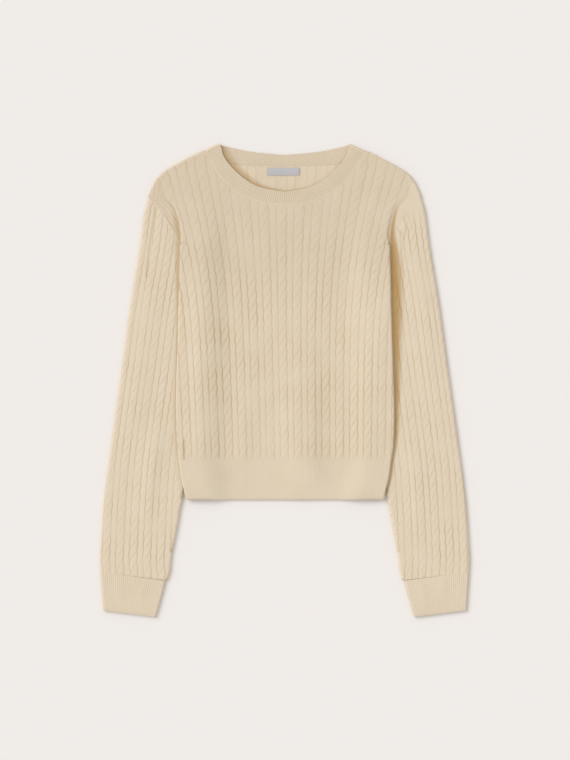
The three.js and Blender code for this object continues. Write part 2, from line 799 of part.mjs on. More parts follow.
function makeSleeve(side) {
  const edgeOffset = (t) => follow(sleeveWales, 't', 'firstCable', t);
  const reliefAt = (inward, t) => cableRelief((inward - edgeOffset(t)) / sleeveRepeat, t, -side);
  const fineRows = [...cableRows(sleeveRowsFrom, sleeveRowsTo), aboveSleeve];
  const upperColumns = [];
  for (let cable = sleeveCables - 1; cable >= 0; cable -= 1) {
    for (const share of [cableHalfShare, 0, -cableHalfShare]) {
      const inwardAt = (t) => edgeOffset(t) + (cable + share) * sleeveRepeat;
      const shiftAt = (t) => (share === 0 ? -side * leanAt(t) * sleeveRepeat : 0);
      upperColumns.push({ inwardAt, shiftAt });
    }
  }
  const fine = sleeveGrid(side, fineRows, upperColumns, fineTurnStops, sleeveLowerShares, reliefAt, 0);
  const innerColumns = sleeveInnerShares.map((share) => ({ inwardAt: (t, width) => share * width }));
  const none = () => 0;
  const coarse = sleeveGrid(side, sleeveInnerRows, innerColumns, coarseTurnStops, sleeveLowerShares, none,
    sleeveInnerMargin);
  return tubeWall(fine, coarse, false);
}

// A cuff is a ring between its seam with the sleeve and its free edge, each a sloping line
function makeCuff(side) {
  const ringAt = (share, steps, turnStops, ribHeight) => {
    const outer = follow(cuffEdges, 'share', 'outerX', share);
    const inner = follow(cuffEdges, 'share', 'innerX', share);
    const outerY = follow(cuffEdges, 'share', 'outerY', share);
    const innerY = follow(cuffEdges, 'share', 'innerY', share);
    const bend = sleeveBend + halfCloth;
    const place = (across) => ({
      x: side * (inner + bend + (outer - inner - 2 * bend) * across),
      y: innerY + (outerY - innerY) * across,
    });
    const ring = [];
    const turn = (across, outward, angle, s) => {
      const centre = { ...place(across), z: halfCloth + sleeveBend };
      ring.push(turnNode(centre, { x: side * outward, y: 0 }, sleeveBend, angle, s, share));
    };
    turn(0, -1, Math.PI, 0);
    turnStops.forEach((stop) => turn(0, -1, Math.PI * (1 - stop), stop));
    for (let k = 0; k <= steps; k += 1) {
      const { x, y } = place(k / steps);
      const relief = k % steps === 0 ? 0 : ribRelief(k, ribHeight);
      ring.push(flatNode(x, y, sleeveLayer, 1 + k / steps, share, relief));
    }
    turnStops.forEach((stop) => turn(1, 1, Math.PI * stop, 2 + stop));
    turn(1, 1, Math.PI, 3);
    const middle = place(0.5);
    ring.push(underNode(middle.x, middle.y, halfCloth, 3.5, share));
    ring.push({ ...ring[0], s: 4 });
    return ring;
  };
  const steps = stepsPerRib * Math.round(cuffRibWidth / ribPitch);
  const fine = cuffRowShares.map((share) => ringAt(share, steps, fineTurnStops, weltRibHeight));
  const coarse = cuffRowShares.map((share) => ringAt(share, cuffInnerSteps, coarseTurnStops, 0));
  return tubeWall(fine, coarse, true);
}

// Values of a curve's parameter that part it into equal lengths
function evenStops(pointAt, from, to, count) {
  const lengths = [0];
  for (let k = 1; k <= curveSamples; k += 1) {
    const a = pointAt(from + (to - from) * (k - 1) / curveSamples);
    const b = pointAt(from + (to - from) * k / curveSamples);
    lengths.push(lengths[k - 1] + Math.hypot(a.x - b.x, a.y - b.y));
  }
  const stops = [];
  let k = 0;
  for (let n = 0; n <= count; n += 1) {
    const wanted = lengths[curveSamples] * n / count;
    while (k < curveSamples && lengths[k + 1] < wanted) {
      k += 1;
    }
    stops.push(from + (to - from) * k / curveSamples);
  }
  stops[count] = to;
  return stops;
}

// The neckband is a ring: over the front, turned down at both neck points, and back behind the neck
function makeNeckband() {
  const place = (table, edgeTable, g, v) => {
    const seam = { x: bandTurnX * g, y: follow(table, 'x', 'y', bandTurnX * Math.abs(g)) };
    const edgeX = neckPointX * g;
    const edge = { x: edgeX, y: follow(edgeTable, 'x', 'y', neckPointX * Math.abs(g)) };
    return { x: seam.x + (edge.x - seam.x) * v, y: seam.y + (edge.y - seam.y) * v };
  };
  const bandBend = (bodyLayer - halfCloth) / 2;
  const ringAt = (v, frontStops, turnStops, backStops, ribHeight) => {
    const ring = [];
    frontStops.forEach((g, k) => {
      const { x, y } = place(frontNeckSeam, frontNeckEdge, g, v);
      ring.push(flatNode(x, y, bodyLayer, k / frontStops.length, v, ribRelief(k, ribHeight)));
    });
    const turn = (side, angle, s) => {
      const start = place(frontNeckSeam, frontNeckEdge, side, v);
      const centre = { ...start, z: halfCloth + bandBend };
      const outward = { x: side * neckTurnOut.x, y: neckTurnOut.y };
      ring.push(turnNode(centre, outward, bandBend, angle, s, v));
    };
    turnStops.forEach((stop) => turn(1, Math.PI * stop, 1 + stop));
    backStops.forEach((g, k) => {
      const { x, y } = place(backNeckSeam, backNeckEdge, g, v);
      ring.push(underNode(x, y, halfCloth, 2 + k / backStops.length, v));
    });
    [...turnStops].reverse().forEach((stop) => turn(-1, Math.PI * stop, 4 - stop));
    ring.push({ ...ring[0], s: 4 });
    return ring;
  };
  const middleLine = (g) => place(frontNeckSeam, frontNeckEdge, g, 0.5);
  const backLine = (g) => place(backNeckSeam, backNeckEdge, g, 0.5);
  const fineFront = evenStops(middleLine, -1, 1, stepsPerRib * frontBandRibs);
  const fineBack = evenStops(backLine, 1, -1, bandSteps.backOuter);
  const fine = [0, 1].map((v) => ringAt(v, fineFront, fineTurnStops, fineBack, bandRibHeight));
  const coarseFront = evenStops(middleLine, -1, 1, bandSteps.frontInner);
  const coarseBack = evenStops(backLine, 1, -1, bandSteps.backInner);
  const coarse = [0, 1].map((v) => ringAt(v, coarseFront, coarseTurnStops, coarseBack, 0));
  return tubeWall(fine, coarse, true);
}

function makeLabel() {
  const geometry = new THREE.BoxGeometry(labelWidth, labelHeight, labelThickness);
  geometry.translate(labelMiddleX, labelMiddleY, clothThickness + seamGap + labelThickness / 2);
  return geometry;
}

const creamKnit = { color: 0xe0d1b8, roughness: 0.95, metalness: 0 };
const creamRib = { color: 0xdecdb2, roughness: 0.95, metalness: 0 };
const silverRibbon = { color: 0xb9bcc4, roughness: 0.5, metalness: 0 };

const sweater = new THREE.Group();

function addPiece(name, geometry, finishOf) {
  const piece = new THREE.Mesh(geometry, new THREE.MeshStandardMaterial(finishOf));
  piece.name = name;
  sweater.add(piece);
}

addPiece('body_front', closed(makeFront()), creamKnit);
addPiece('body_back', makeBack(), creamKnit);
addPiece('hem', closed(makeHem()), creamRib);
addPiece('sleeve_left', closed(makeSleeve(-1), true), creamKnit);
addPiece('sleeve_right', closed(makeSleeve(1)), creamKnit);
addPiece('cuff_left', closed(makeCuff(-1), true), creamRib);
addPiece('cuff_right', closed(makeCuff(1)), creamRib);
addPiece('neckband', closed(makeNeckband()), creamRib);
addPiece('neck_label', makeLabel(), silverRibbon);

export default sweater;
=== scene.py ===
import math
from functools import partial

import bmesh
import bpy
import numpy as np
from mathutils import Matrix, Vector


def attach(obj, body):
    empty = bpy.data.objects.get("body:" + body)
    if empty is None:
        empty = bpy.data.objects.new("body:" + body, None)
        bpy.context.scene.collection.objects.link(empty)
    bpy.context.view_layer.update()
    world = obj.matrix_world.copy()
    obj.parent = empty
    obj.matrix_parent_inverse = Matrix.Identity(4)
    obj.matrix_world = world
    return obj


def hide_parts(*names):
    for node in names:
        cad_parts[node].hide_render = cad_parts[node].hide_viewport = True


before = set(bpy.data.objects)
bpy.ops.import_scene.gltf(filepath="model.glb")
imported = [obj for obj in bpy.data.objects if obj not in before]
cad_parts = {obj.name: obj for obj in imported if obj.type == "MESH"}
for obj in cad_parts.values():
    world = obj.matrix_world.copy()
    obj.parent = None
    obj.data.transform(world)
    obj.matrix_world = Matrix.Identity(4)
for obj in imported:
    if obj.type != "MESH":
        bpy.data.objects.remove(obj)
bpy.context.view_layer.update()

# Lengths are millimetres, but cut sizes and those of the studio are metres. Left and right are the viewer's
mm = 0.001

# The cloth and how its layers lie
cloth = {
    "half": 1.1,  # half of its thickness
    "bodyBend": 1.4,  # radius where the front turns under at its sides
    "sleeveBend": 1.9,  # radius along a sleeve's two folded edges
    "tuckRise": 6.5,  # climb of the body over a tucked sleeve edge
    "tuckSlope": 25,
    "sideSlopeStart": 72,
    "sideSlope": 40,
    "cornerDroop": 0.3,  # share of the body's height over the sleeves that is lost at the hem's corners
    "cornerLength": 18,
    "fadeFrom": 0.55,  # where the relief dies away as a side turns under, as shares of the half turn
    "fadeOver": 0.4,
    "flatBelow": 0.1,  # cloth turned by less than this many radians is part of the upper face
    "insideTone": 0.3,
    "weldWithin": 0.02,
    "sliver": 0.001,
    "sharpFrom": 70,  # degrees
}
bodyLayer = cloth["half"] + 2 * cloth["bodyBend"]
sleeveLayer = cloth["half"] + 2 * cloth["sleeveBend"]
bodyTurn = math.pi * cloth["bodyBend"]  # length of the cloth in a side's half turn
sleeveEdge = cloth["half"] + cloth["sleeveBend"]

# Where the panels start and end
hemTop = -119
hemBottom = -178.5
underarmY = 165
turnTopY = 205
turnFullY = 196.4
tuckEndY = -162
armholeTopY = 277
neckPointX = 95.7
bandShoulderX = 120.6
bandTurnX = 119.3

# Outlines, as (y, x) rows going up, except where the name says along x
bodySide = [(-178.5, 148), (-161, 152), (-143, 156), (-121, 159), (-97, 162), (-48, 163.4), (19, 162),
            (76, 160), (173, 157.5), (203, 157)]
armhole = [(165, 142), (185, 149), (205, 156), (222, 163), (239, 174), (253, 183), (263, 193),
           (270, 200), (277, 204)]
sideSeam = [(-178.5, 126), (-150, 124), (-119, 119), (-90, 115), (-50, 111), (0, 109), (100, 110),
            (125, 114), (142, 124), (155, 134), (165, 142)]
sleeveOuter = [(-299, 276), (-287, 276), (-269, 277), (-251, 276), (-179, 271), (-89, 259), (19, 244),
               (121, 230), (199, 217), (253, 210), (271, 205), (277, 204)]
sleeveInner = [(-299, 179), (-269, 172.5), (-233, 166), (-197, 159), (-179, 156), (-162, 152),
               (-143, 149), (-119, 145), (-90, 141), (-50, 137), (0, 135), (40, 135), (100, 136),
               (140, 138), (165, 142)]
shoulderAlongX = [(97, 355), (120.6, 345), (129, 341.5), (162, 324.5), (181, 313), (193, 301),
                  (199, 289), (204, 277)]
frontSeamAlongX = [(0, 262), (21, 263), (48.5, 270), (67, 278), (86, 293), (101, 310), (112, 329),
                   (120.6, 343.2)]
frontEdgeAlongX = [(0, 283), (30, 288), (48.5, 295), (67, 308), (82, 323), (92, 338), (95.7, 352.6)]
backSeamAlongX = [(0, 320.6), (75, 323), (98, 331), (120.6, 343.2)]
backEdgeAlongX = [(0, 338), (51, 343), (76, 348), (95.7, 352.6)]

# The crease beside each armhole, and how much higher the front lies inside it
creaseX = [(200, 157), (222, 157), (244, 161), (262, 168), (274, 180), (286, 187)]
creaseRise = [(200, 6.5), (222, 4.6), (244, 3.2), (262, 2), (274, 1.4), (286, 1)]


def follow(table, at):  # a smooth curve through a table's rows
    by, of = np.array(table, float).T
    slope = np.gradient(of, by)
    slope[1:-1] = (of[2:] - of[:-2]) / (by[2:] - by[:-2])
    held = np.clip(at, by[0], by[-1])
    k = np.clip(np.searchsorted(by, held, side="right") - 1, 0, len(by) - 2)
    span = by[k + 1] - by[k]
    t = (held - by[k]) / span
    return ((2 * t ** 3 - 3 * t ** 2 + 1) * of[k] + (t ** 3 - 2 * t ** 2 + t) * span * slope[k]
            + (3 * t ** 2 - 2 * t ** 3) * of[k + 1] + (t ** 3 - t ** 2) * span * slope[k + 1])


def ease(t):
    held = np.clip(t, 0, 1)
    return held * held * (3 - 2 * held)


def steepness(curve, at):  # how much longer a curve is than its run
    return np.hypot(1, (curve(at + 1) - curve(at - 1)) / 2)


def turnFade(angle):
    return 1 - ease((angle - cloth["fadeFrom"] * math.pi) / (cloth["fadeOver"] * math.pi))


def edgeDrop(fromEdge, radius):  # fall of a rounded edge, as a share of its radius
    return 1 - np.sqrt(1 - np.clip(1 - fromEdge / radius, 0, 1) ** 2)


def columnTops(flat, topAt, widthAt, rounds=40):  # where each column of a panel meets its top edge
    top = np.full(len(flat), float(armholeTopY))
    for step in range(rounds):
        top = (top + topAt(np.abs(flat) * widthAt(top))) / 2
    return top


# A row for each fold: x, y, half width, half length, height (a trough's is below 0), and its lean
def foldHeight(folds, across, along):
    height = 0.0
    for x, y, halfWidth, halfLength, rise, *lean in folds:
        dx = (across - x - sum(lean) * (along - y)) / halfWidth
        dy = (along - y) / halfLength
        height = height + rise * np.exp(-dx * dx - dy * dy)
    return height


# A row for each narrow crease: half width, depth, shade, and the points that it runs through
def creaseMarks(creases, x, y):
    depth, shade = 0.0, 0.0
    for half, deep, dark, points in creases:
        away = np.full(len(x), np.inf)
        for (ax, ay), (bx, by) in zip(points, points[1:]):
            dx, dy = bx - ax, by - ay
            t = np.clip(((x - ax) * dx + (y - ay) * dy) / (dx * dx + dy * dy), 0, 1)
            away = np.minimum(away, np.hypot(x - ax - t * dx, y - ay - t * dy))
        mark = np.exp(-(away / half) ** 2)
        depth, shade = depth + deep * mark, shade + dark * mark
    return depth, shade


def stretchShares(column, counts):  # how far a column is through each stretch of a ring
    ends = np.cumsum([0, *counts])
    return [np.clip((column - ends[k]) / counts[k], 0, 1) for k in range(len(counts))]


def tubeTurns(column, counts):  # shares over the top and underneath, the turn, and the side it is on
    innerTurn, onTop, outerTurn, below = stretchShares(column, counts)
    return (onTop, below, math.pi * np.where(onTop > 0, outerTurn, 1 - innerTurn),
            np.where(onTop > 0, 1.0, -1.0))


def turnNormal(outX, angle, outY=0):  # the way that cloth faces once it has turned by an angle
    sine = np.sin(angle) * ((angle > 0) & (angle < math.pi))
    return np.stack([outX * sine, outY * sine, np.cos(angle)], 1)


# The cable knit: two strands that cross at every pitch, a flat rib between the cables, and grooves.
# Shares are of one repeat's width
cable = {
    "pitch": 17.5,
    "lowestCrossing": -107,
    "height": 0.55,
    "lean": 0.17,  # how far from the cable's middle a crease between its strands starts and ends
    "creaseHalf": 0.06,
    "creaseDepth": 0.15,
    "creaseShade": 0.42,
    "ribStart": 0.3,
    "ribSoft": 0.07,
    "ribHeight": 0.24,
    "sleeveRepeat": 20.5,
    "grooveAt": 0.246,  # where the groove beside a cable runs, and how far it swings out between crossings
    "grooveSwing": 0.058,
    "grooveHalf": 0.058,
    "pullScale": 26,  # the painted groove shade is fainter in some places than in others, as if the cloth were pulled flatter there
    "pullDetail": 1,
    "pullAmount": 2,
    "pullBase": -0.2,
    "pullLeast": 0.3,
    "pullMost": 1.5,
}


def cableRelief(repeat, along, way=1):
    share = (repeat - np.round(repeat)) * way
    turn = math.pi * (along - cable["lowestCrossing"]) / cable["pitch"]
    rib = cable["ribHeight"] * ease((np.abs(share) - cable["ribStart"]) / cable["ribSoft"])
    swell = np.abs(np.sin(turn))
    arch = np.sqrt(np.clip(1 - (share / (cable["grooveAt"] + cable["grooveSwing"] * swell)) ** 2, 0, 1))
    lean = -cable["lean"] * np.cos(turn) * np.sign(np.sin(turn))
    crease = swell * np.exp(-((share - lean) / cable["creaseHalf"]) ** 2)
    return np.maximum(rib, arch * (cable["height"] - cable["creaseDepth"] * crease))


def cablePlace(repeat, along, way=1):  # a place in the cable pattern, for the material
    return np.stack([repeat * way, (along - cable["lowestCrossing"]) / cable["pitch"]], 1)


def ribRelief(across, pitch, height, narrowing=0.8):
    return height * (0.5 + 0.5 * np.cos(2 * math.pi * across / pitch)) ** narrowing


# Grids of cloth. A shell has a fine outer face and a coarser inner one, or a tube's faces run round
def gridVerts(bm, columns, rows, size, layer):
    place = Matrix.Diagonal((*size, 1, 1)) @ Matrix.Translation((0.5, 0.5, layer))
    made = bmesh.ops.create_grid(bm, x_segments=columns, y_segments=rows, size=0.5, matrix=place)
    return made["verts"]


def edgesOn(bm, axis=None, value=None):
    found = [e for e in bm.edges if e.is_boundary]
    if axis is not None:
        found = [e for e in found if all(abs(v.co[axis] - value) < 0.01 for v in e.verts)]
    return found


def clothMesh(name, columns, rows, step, place, tube=False, ring=False):
    bm = bmesh.new()
    gridVerts(bm, columns, rows, (columns, rows), 0)
    if not ring:
        inner = gridVerts(bm, columns // step, rows // step, (columns, rows), -1)
        if step > 1:
            rim = {e for v in inner for e in v.link_edges if e.is_boundary}
            if tube:
                rim = {e for e in rim if abs(e.verts[0].co.y - e.verts[1].co.y) < 0.01}
            bmesh.ops.subdivide_edges(bm, edges=list(rim), cuts=step - 1)
        if tube:
            for end in (0, rows):
                bmesh.ops.bridge_loops(bm, edges=edgesOn(bm, 1, end))
        else:
            bmesh.ops.bridge_loops(bm, edges=edgesOn(bm))
    mesh = bpy.data.meshes.new(name)
    bm.to_mesh(mesh)
    bm.free()

    flat = np.empty(len(mesh.vertices) * 3)
    mesh.vertices.foreach_get("co", flat)
    flat = flat.reshape(-1, 3)
    column, row = np.rint(flat[:, 0]).astype(int), np.rint(flat[:, 1]).astype(int)
    outside = flat[:, 2] > -0.5
    made = place(column, row)
    half = made.get("half", cloth["half"])
    offset = np.where(outside, half + made["relief"], -half + made.get("innerRelief", 0))
    points = (made["middle"] + made["normal"] * offset[:, None]) * mm
    mesh.vertices.foreach_set("co", points.ravel())

    corner = np.empty(len(mesh.loops), int)
    mesh.loops.foreach_get("vertex_index", corner)
    layer = mesh.uv_layers.new(name="knit")
    layer.uv.foreach_set("vector", (made["knit"][corner] * mm).ravel())
    layer = mesh.uv_layers.new(name="cable")
    layer.uv.foreach_set("vector", made.get("cable", made["knit"])[corner].ravel())
    # shadeAndTone: each piece's own tone and dark seam lines, with painted shade in grooves, creases, rib
    # valleys, beside the folds and behind the neckline, and a painted highlight on the neckband's linking
    # line
    shadeAndTone = np.where(outside, made["shadeAndTone"], made.get("innerShadeAndTone", cloth["insideTone"]))
    none = np.zeros(len(outside))
    for word, values in (("shadeAndTone", shadeAndTone), ("cabled", made.get("cabled", none)),
                         ("dimming", made.get("dimming", none))):
        layer = mesh.attributes.new(word, "FLOAT", "POINT")
        layer.data.foreach_set("value", values)

    bm = bmesh.new()
    bm.from_mesh(mesh)
    bmesh.ops.remove_doubles(bm, verts=bm.verts, dist=cloth["weldWithin"] * mm)
    bmesh.ops.dissolve_degenerate(bm, edges=bm.edges, dist=cloth["sliver"] * mm)
    bmesh.ops.recalc_face_normals(bm, faces=bm.faces)
    if bm.calc_volume(signed=True) < 0:
        bmesh.ops.reverse_faces(bm, faces=bm.faces)
    bm.to_mesh(mesh)
    bm.free()
    mesh.shade_smooth()
    mesh.set_sharp_from_angle(angle=math.radians(cloth["sharpFrom"]))
    return mesh


def addPiece(name, node, finish, place, columns, rows, step=1, **kind):
    mesh = clothMesh(name, columns, rows, step, place, **kind)
    material, slot = finish
    mesh.materials.append(material)
    piece = bpy.data.objects.new(name, mesh)
    bpy.context.collection.objects.link(piece)
    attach(piece, "root")
    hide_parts(node)
    print(name, len(mesh.vertices), "vertices")
    return piece


# Materials
def newGroup(name, inputs, outputs):
    group = bpy.data.node_groups.new(name, "ShaderNodeTree")
    for way, sockets in (("INPUT", inputs), ("OUTPUT", outputs)):
        for socket, kind in sockets.items():
            group.interface.new_socket(socket, in_out=way, socket_type="NodeSocket" + kind)
    return group, group.nodes.new("NodeGroupInput").outputs, group.nodes.new("NodeGroupOutput").inputs


def feed(tree, socket, value):  # a link from another node, or a plain value
    if isinstance(value, bpy.types.NodeSocket):
        tree.links.new(value, socket)
    else:
        socket.default_value = value


def mathNode(tree, operation, *values):
    node = tree.nodes.new("ShaderNodeMath")
    node.operation = operation
    for socket, value in zip(node.inputs, values):
        feed(tree, socket, value)
    return node.outputs[0]


def noiseNode(tree, place, scale, detail):
    node = tree.nodes.new("ShaderNodeTexNoise")
    node.inputs["Scale"].default_value = scale
    node.inputs["Detail"].default_value = detail
    tree.links.new(place, node.inputs["Vector"])
    return node.outputs["Fac"]


def mixNode(tree, share, first, second):
    node = tree.nodes.new("ShaderNodeMix")
    node.data_type = "RGBA"
    feed(tree, node.inputs["Factor"], share)
    feed(tree, node.inputs[6], first)
    feed(tree, node.inputs[7], second)
    return node.outputs[2]


def bumpNode(tree, height, strength, depth):
    node = tree.nodes.new("ShaderNodeBump")
    node.inputs["Strength"].default_value = strength
    node.inputs["Distance"].default_value = depth * mm
    tree.links.new(height, node.inputs["Height"])
    return node.outputs["Normal"]


def attributeNode(tree, name):
    node = tree.nodes.new("ShaderNodeAttribute")
    node.attribute_name = name
    return node.outputs["Fac"]


def mapNode(tree, name):
    node = tree.nodes.new("ShaderNodeUVMap")
    node.uv_map = name
    return node.outputs["UV"]


def groupNode(tree, group, fed):
    node = tree.nodes.new("ShaderNodeGroup")
    node.node_tree = group
    for name, value in fed.items():
        feed(tree, node.inputs[name], value)
    return node.outputs


def newMaterial(name):
    material = bpy.data.materials.new(name)
    material.use_nodes = True
    return material, material.node_tree


def giveLooks(tree, looks):
    for socket, value in looks.items():
        feed(tree, tree.nodes["Principled BSDF"].inputs[socket], value)


stitch = {"slant": 1.6, "loop": 0.35, "leg": 0.65}


def knitGroup():  # the V of each stitch, as a height, on a piece's own knit coordinates
    group, given, out = newGroup("knitStitches", {"Knit": "Vector", "Wale": "Float", "Course": "Float"},
                                 {"Height": "Float"})
    calc = partial(mathNode, group)
    parts = group.nodes.new("ShaderNodeSeparateXYZ")
    group.links.new(given["Knit"], parts.inputs[0])
    wale = calc("DIVIDE", parts.outputs["X"], given["Wale"])
    fromMiddle = calc("PINGPONG", wale, 0.5)
    course = calc("DIVIDE", parts.outputs["Y"], given["Course"])
    slanted = calc("MULTIPLY_ADD", fromMiddle, stitch["slant"], course)
    leg = calc("SINE", calc("MULTIPLY", fromMiddle, 2 * math.pi))
    loop = calc("SINE", calc("MULTIPLY", slanted, 2 * math.pi))
    leg = calc("MULTIPLY", leg, stitch["leg"])
    height = calc("MULTIPLY_ADD", loop, stitch["loop"], leg)
    group.links.new(height, out["Height"])
    return group


def cableGroup():  # painted shade in the grooves beside a cable and in the creases between its strands
    group, given, out = newGroup("cableLines", {"Cable": "Vector", "Cabled": "Float", "Place": "Vector"},
                                 {"ShadeMix": "Float"})
    calc = partial(mathNode, group)
    parts = group.nodes.new("ShaderNodeSeparateXYZ")
    group.links.new(given["Cable"], parts.inputs[0])
    share = calc("SUBTRACT", parts.outputs["X"], calc("ROUND", parts.outputs["X"]))
    turn = calc("MULTIPLY", parts.outputs["Y"], math.pi)
    sine, cosine = calc("SINE", turn), calc("COSINE", turn)
    swell = calc("ABSOLUTE", sine)
    leaning = calc("MULTIPLY", cosine, calc("SIGN", sine))
    apart = calc("MULTIPLY_ADD", leaning, cable["lean"], share)
    apart = calc("DIVIDE", apart, cable["creaseHalf"])
    squared = calc("MULTIPLY", calc("MULTIPLY", apart, apart), -1.0)
    crease = calc("MULTIPLY", calc("EXPONENT", squared), swell)
    crease = calc("MULTIPLY", crease, cable["creaseShade"])
    swing = calc("MULTIPLY_ADD", swell, cable["grooveSwing"], cable["grooveAt"])
    away = calc("SUBTRACT", calc("ABSOLUTE", share), swing)
    away = calc("DIVIDE", calc("ABSOLUTE", away), cable["grooveHalf"])
    line = calc("MAXIMUM", calc("SUBTRACT", 1.0, away), 0.0)
    line = calc("MULTIPLY", line, calc("MULTIPLY_ADD", line, -0.5, 1.5))
    deepest = calc("MAXIMUM", line, crease)
    pull = noiseNode(group, given["Place"], cable["pullScale"], cable["pullDetail"])
    pulled = calc("MULTIPLY_ADD", pull, cable["pullAmount"], cable["pullBase"])
    pulled = calc("MAXIMUM", pulled, cable["pullLeast"])
    pulled = calc("MINIMUM", pulled, cable["pullMost"])
    shown = calc("MULTIPLY", given["Cabled"], pulled)
    group.links.new(calc("MULTIPLY", deepest, shown), out["ShadeMix"])
    return group


# The yarn's own unevenness: soft clouds over the cloth, and fine flecks of fuzz; the groove and stitch
# amounts set how much painted shade darkens it in the grooves and low in each stitch
yarn = {
    "cloudScale": 22, "cloudDetail": 3, "cloudAmount": 0.2, "cloudBase": -0.038,
    "fuzzScale": 1400, "fuzzDetail": 2, "fleckAmount": 0.3, "fleckBase": -0.15,
    "grooveAmount": 0.47, "stitchAmount": -0.075,
}


def yarnGroup():  # yarn colour: mixed towards the shade colour by painted shade and by each piece's own tone, warmer and darker in the grooves; softly uneven over the cloth
    group, given, out = newGroup("yarnTone", {
        "Place": "Vector", "Yarn": "Color", "ShadeColour": "Color",
        "ShadeMix": "Float", "Stitch": "Float", "Darkening": "Float",
    }, {"Color": "Color", "Fuzz": "Float"})
    calc = partial(mathNode, group)
    cloud = noiseNode(group, given["Place"], yarn["cloudScale"], yarn["cloudDetail"])
    fuzz = noiseNode(group, given["Place"], yarn["fuzzScale"], yarn["fuzzDetail"])
    uneven = calc("MULTIPLY_ADD", cloud, yarn["cloudAmount"], yarn["cloudBase"])
    flecks = calc("MULTIPLY_ADD", fuzz, yarn["fleckAmount"], yarn["fleckBase"])
    shade = calc("MULTIPLY_ADD", given["ShadeMix"], yarn["grooveAmount"], uneven)
    shade = calc("ADD", shade, flecks)
    shade = calc("MULTIPLY_ADD", given["Stitch"], yarn["stitchAmount"], shade)
    shade = calc("MAXIMUM", calc("MINIMUM", shade, 1.0), 0.0)
    darkened = group.nodes.new("ShaderNodeVectorMath")
    darkened.operation = "SCALE"
    feed(group, darkened.inputs[0], mixNode(group, shade, given["Yarn"], given["ShadeColour"]))
    feed(group, darkened.inputs["Scale"], calc("SUBTRACT", 1.0, given["Darkening"]))
    group.links.new(darkened.outputs[0], out["Color"])
    group.links.new(fuzz, out["Fuzz"])
    return group


knitStitches = knitGroup()
cableLines = cableGroup()
yarnTone = yarnGroup()


def knitMaterial(name, finish):
    material, tree = newMaterial(name)
    calc = partial(mathNode, tree)
    place = tree.nodes.new("ShaderNodeTexCoord").outputs["Object"]
    stitches = groupNode(tree, knitStitches, {
        "Knit": mapNode(tree, "knit"), "Wale": finish["wale"] * mm, "Course": finish["course"] * mm,
    })
    deepest, height = attributeNode(tree, "shadeAndTone"), stitches["Height"]
    if finish["cabled"]:
        lines = groupNode(tree, cableLines, {
            "Cable": mapNode(tree, "cable"), "Cabled": attributeNode(tree, "cabled"), "Place": place,
        })
        deepest = calc("MULTIPLY_ADD", lines["ShadeMix"], finish["grooveShade"], deepest)
        height = calc("MULTIPLY_ADD", lines["ShadeMix"], -finish["grooveDepth"], height)
    tone = groupNode(tree, yarnTone, {
        "Place": place, "Yarn": (*finish["yarn"], 1), "ShadeColour": (*finish["deep"], 1), "ShadeMix": deepest,
        "Stitch": stitches["Height"], "Darkening": attributeNode(tree, "dimming"),
    })
    height = calc("MULTIPLY_ADD", tone["Fuzz"], finish["fuzz"], height)
    giveLooks(tree, {
        "Base Color": tone["Color"],
        "Normal": bumpNode(tree, height, finish["bump"], finish["stitchDepth"]),
        "Roughness": finish["roughness"],
        "Specular IOR Level": finish["gloss"],
        "Sheen Weight": finish["sheen"],
        "Sheen Roughness": finish["sheenRoughness"],
        "Sheen Tint": (*finish["sheenTint"], 1),
    })
    return material


# deep is the shade colour that painted shade in grooves, creases, rib valleys and beside folds mixes the
# yarn towards
cableFinish = {
    "yarn": (0.805, 0.69, 0.527), "deep": (0.5, 0.31, 0.12), "wale": 1.7, "course": 1.35,
    "stitchDepth": 0.3, "bump": 0.5, "fuzz": 0.5, "roughness": 0.9, "gloss": 0.15, "sheen": 0.12,
    "sheenRoughness": 0.5, "sheenTint": (1, 0.95, 0.86), "cabled": True, "grooveShade": 1.3,
    "grooveDepth": 0.5,
}
ribFinish = {**cableFinish, "cabled": False, "wale": 1.5, "course": 1.3}
cableKnit = (knitMaterial("cableKnit", cableFinish), "cable_knit")
ribKnit = (knitMaterial("ribKnit", ribFinish), "rib_knit")


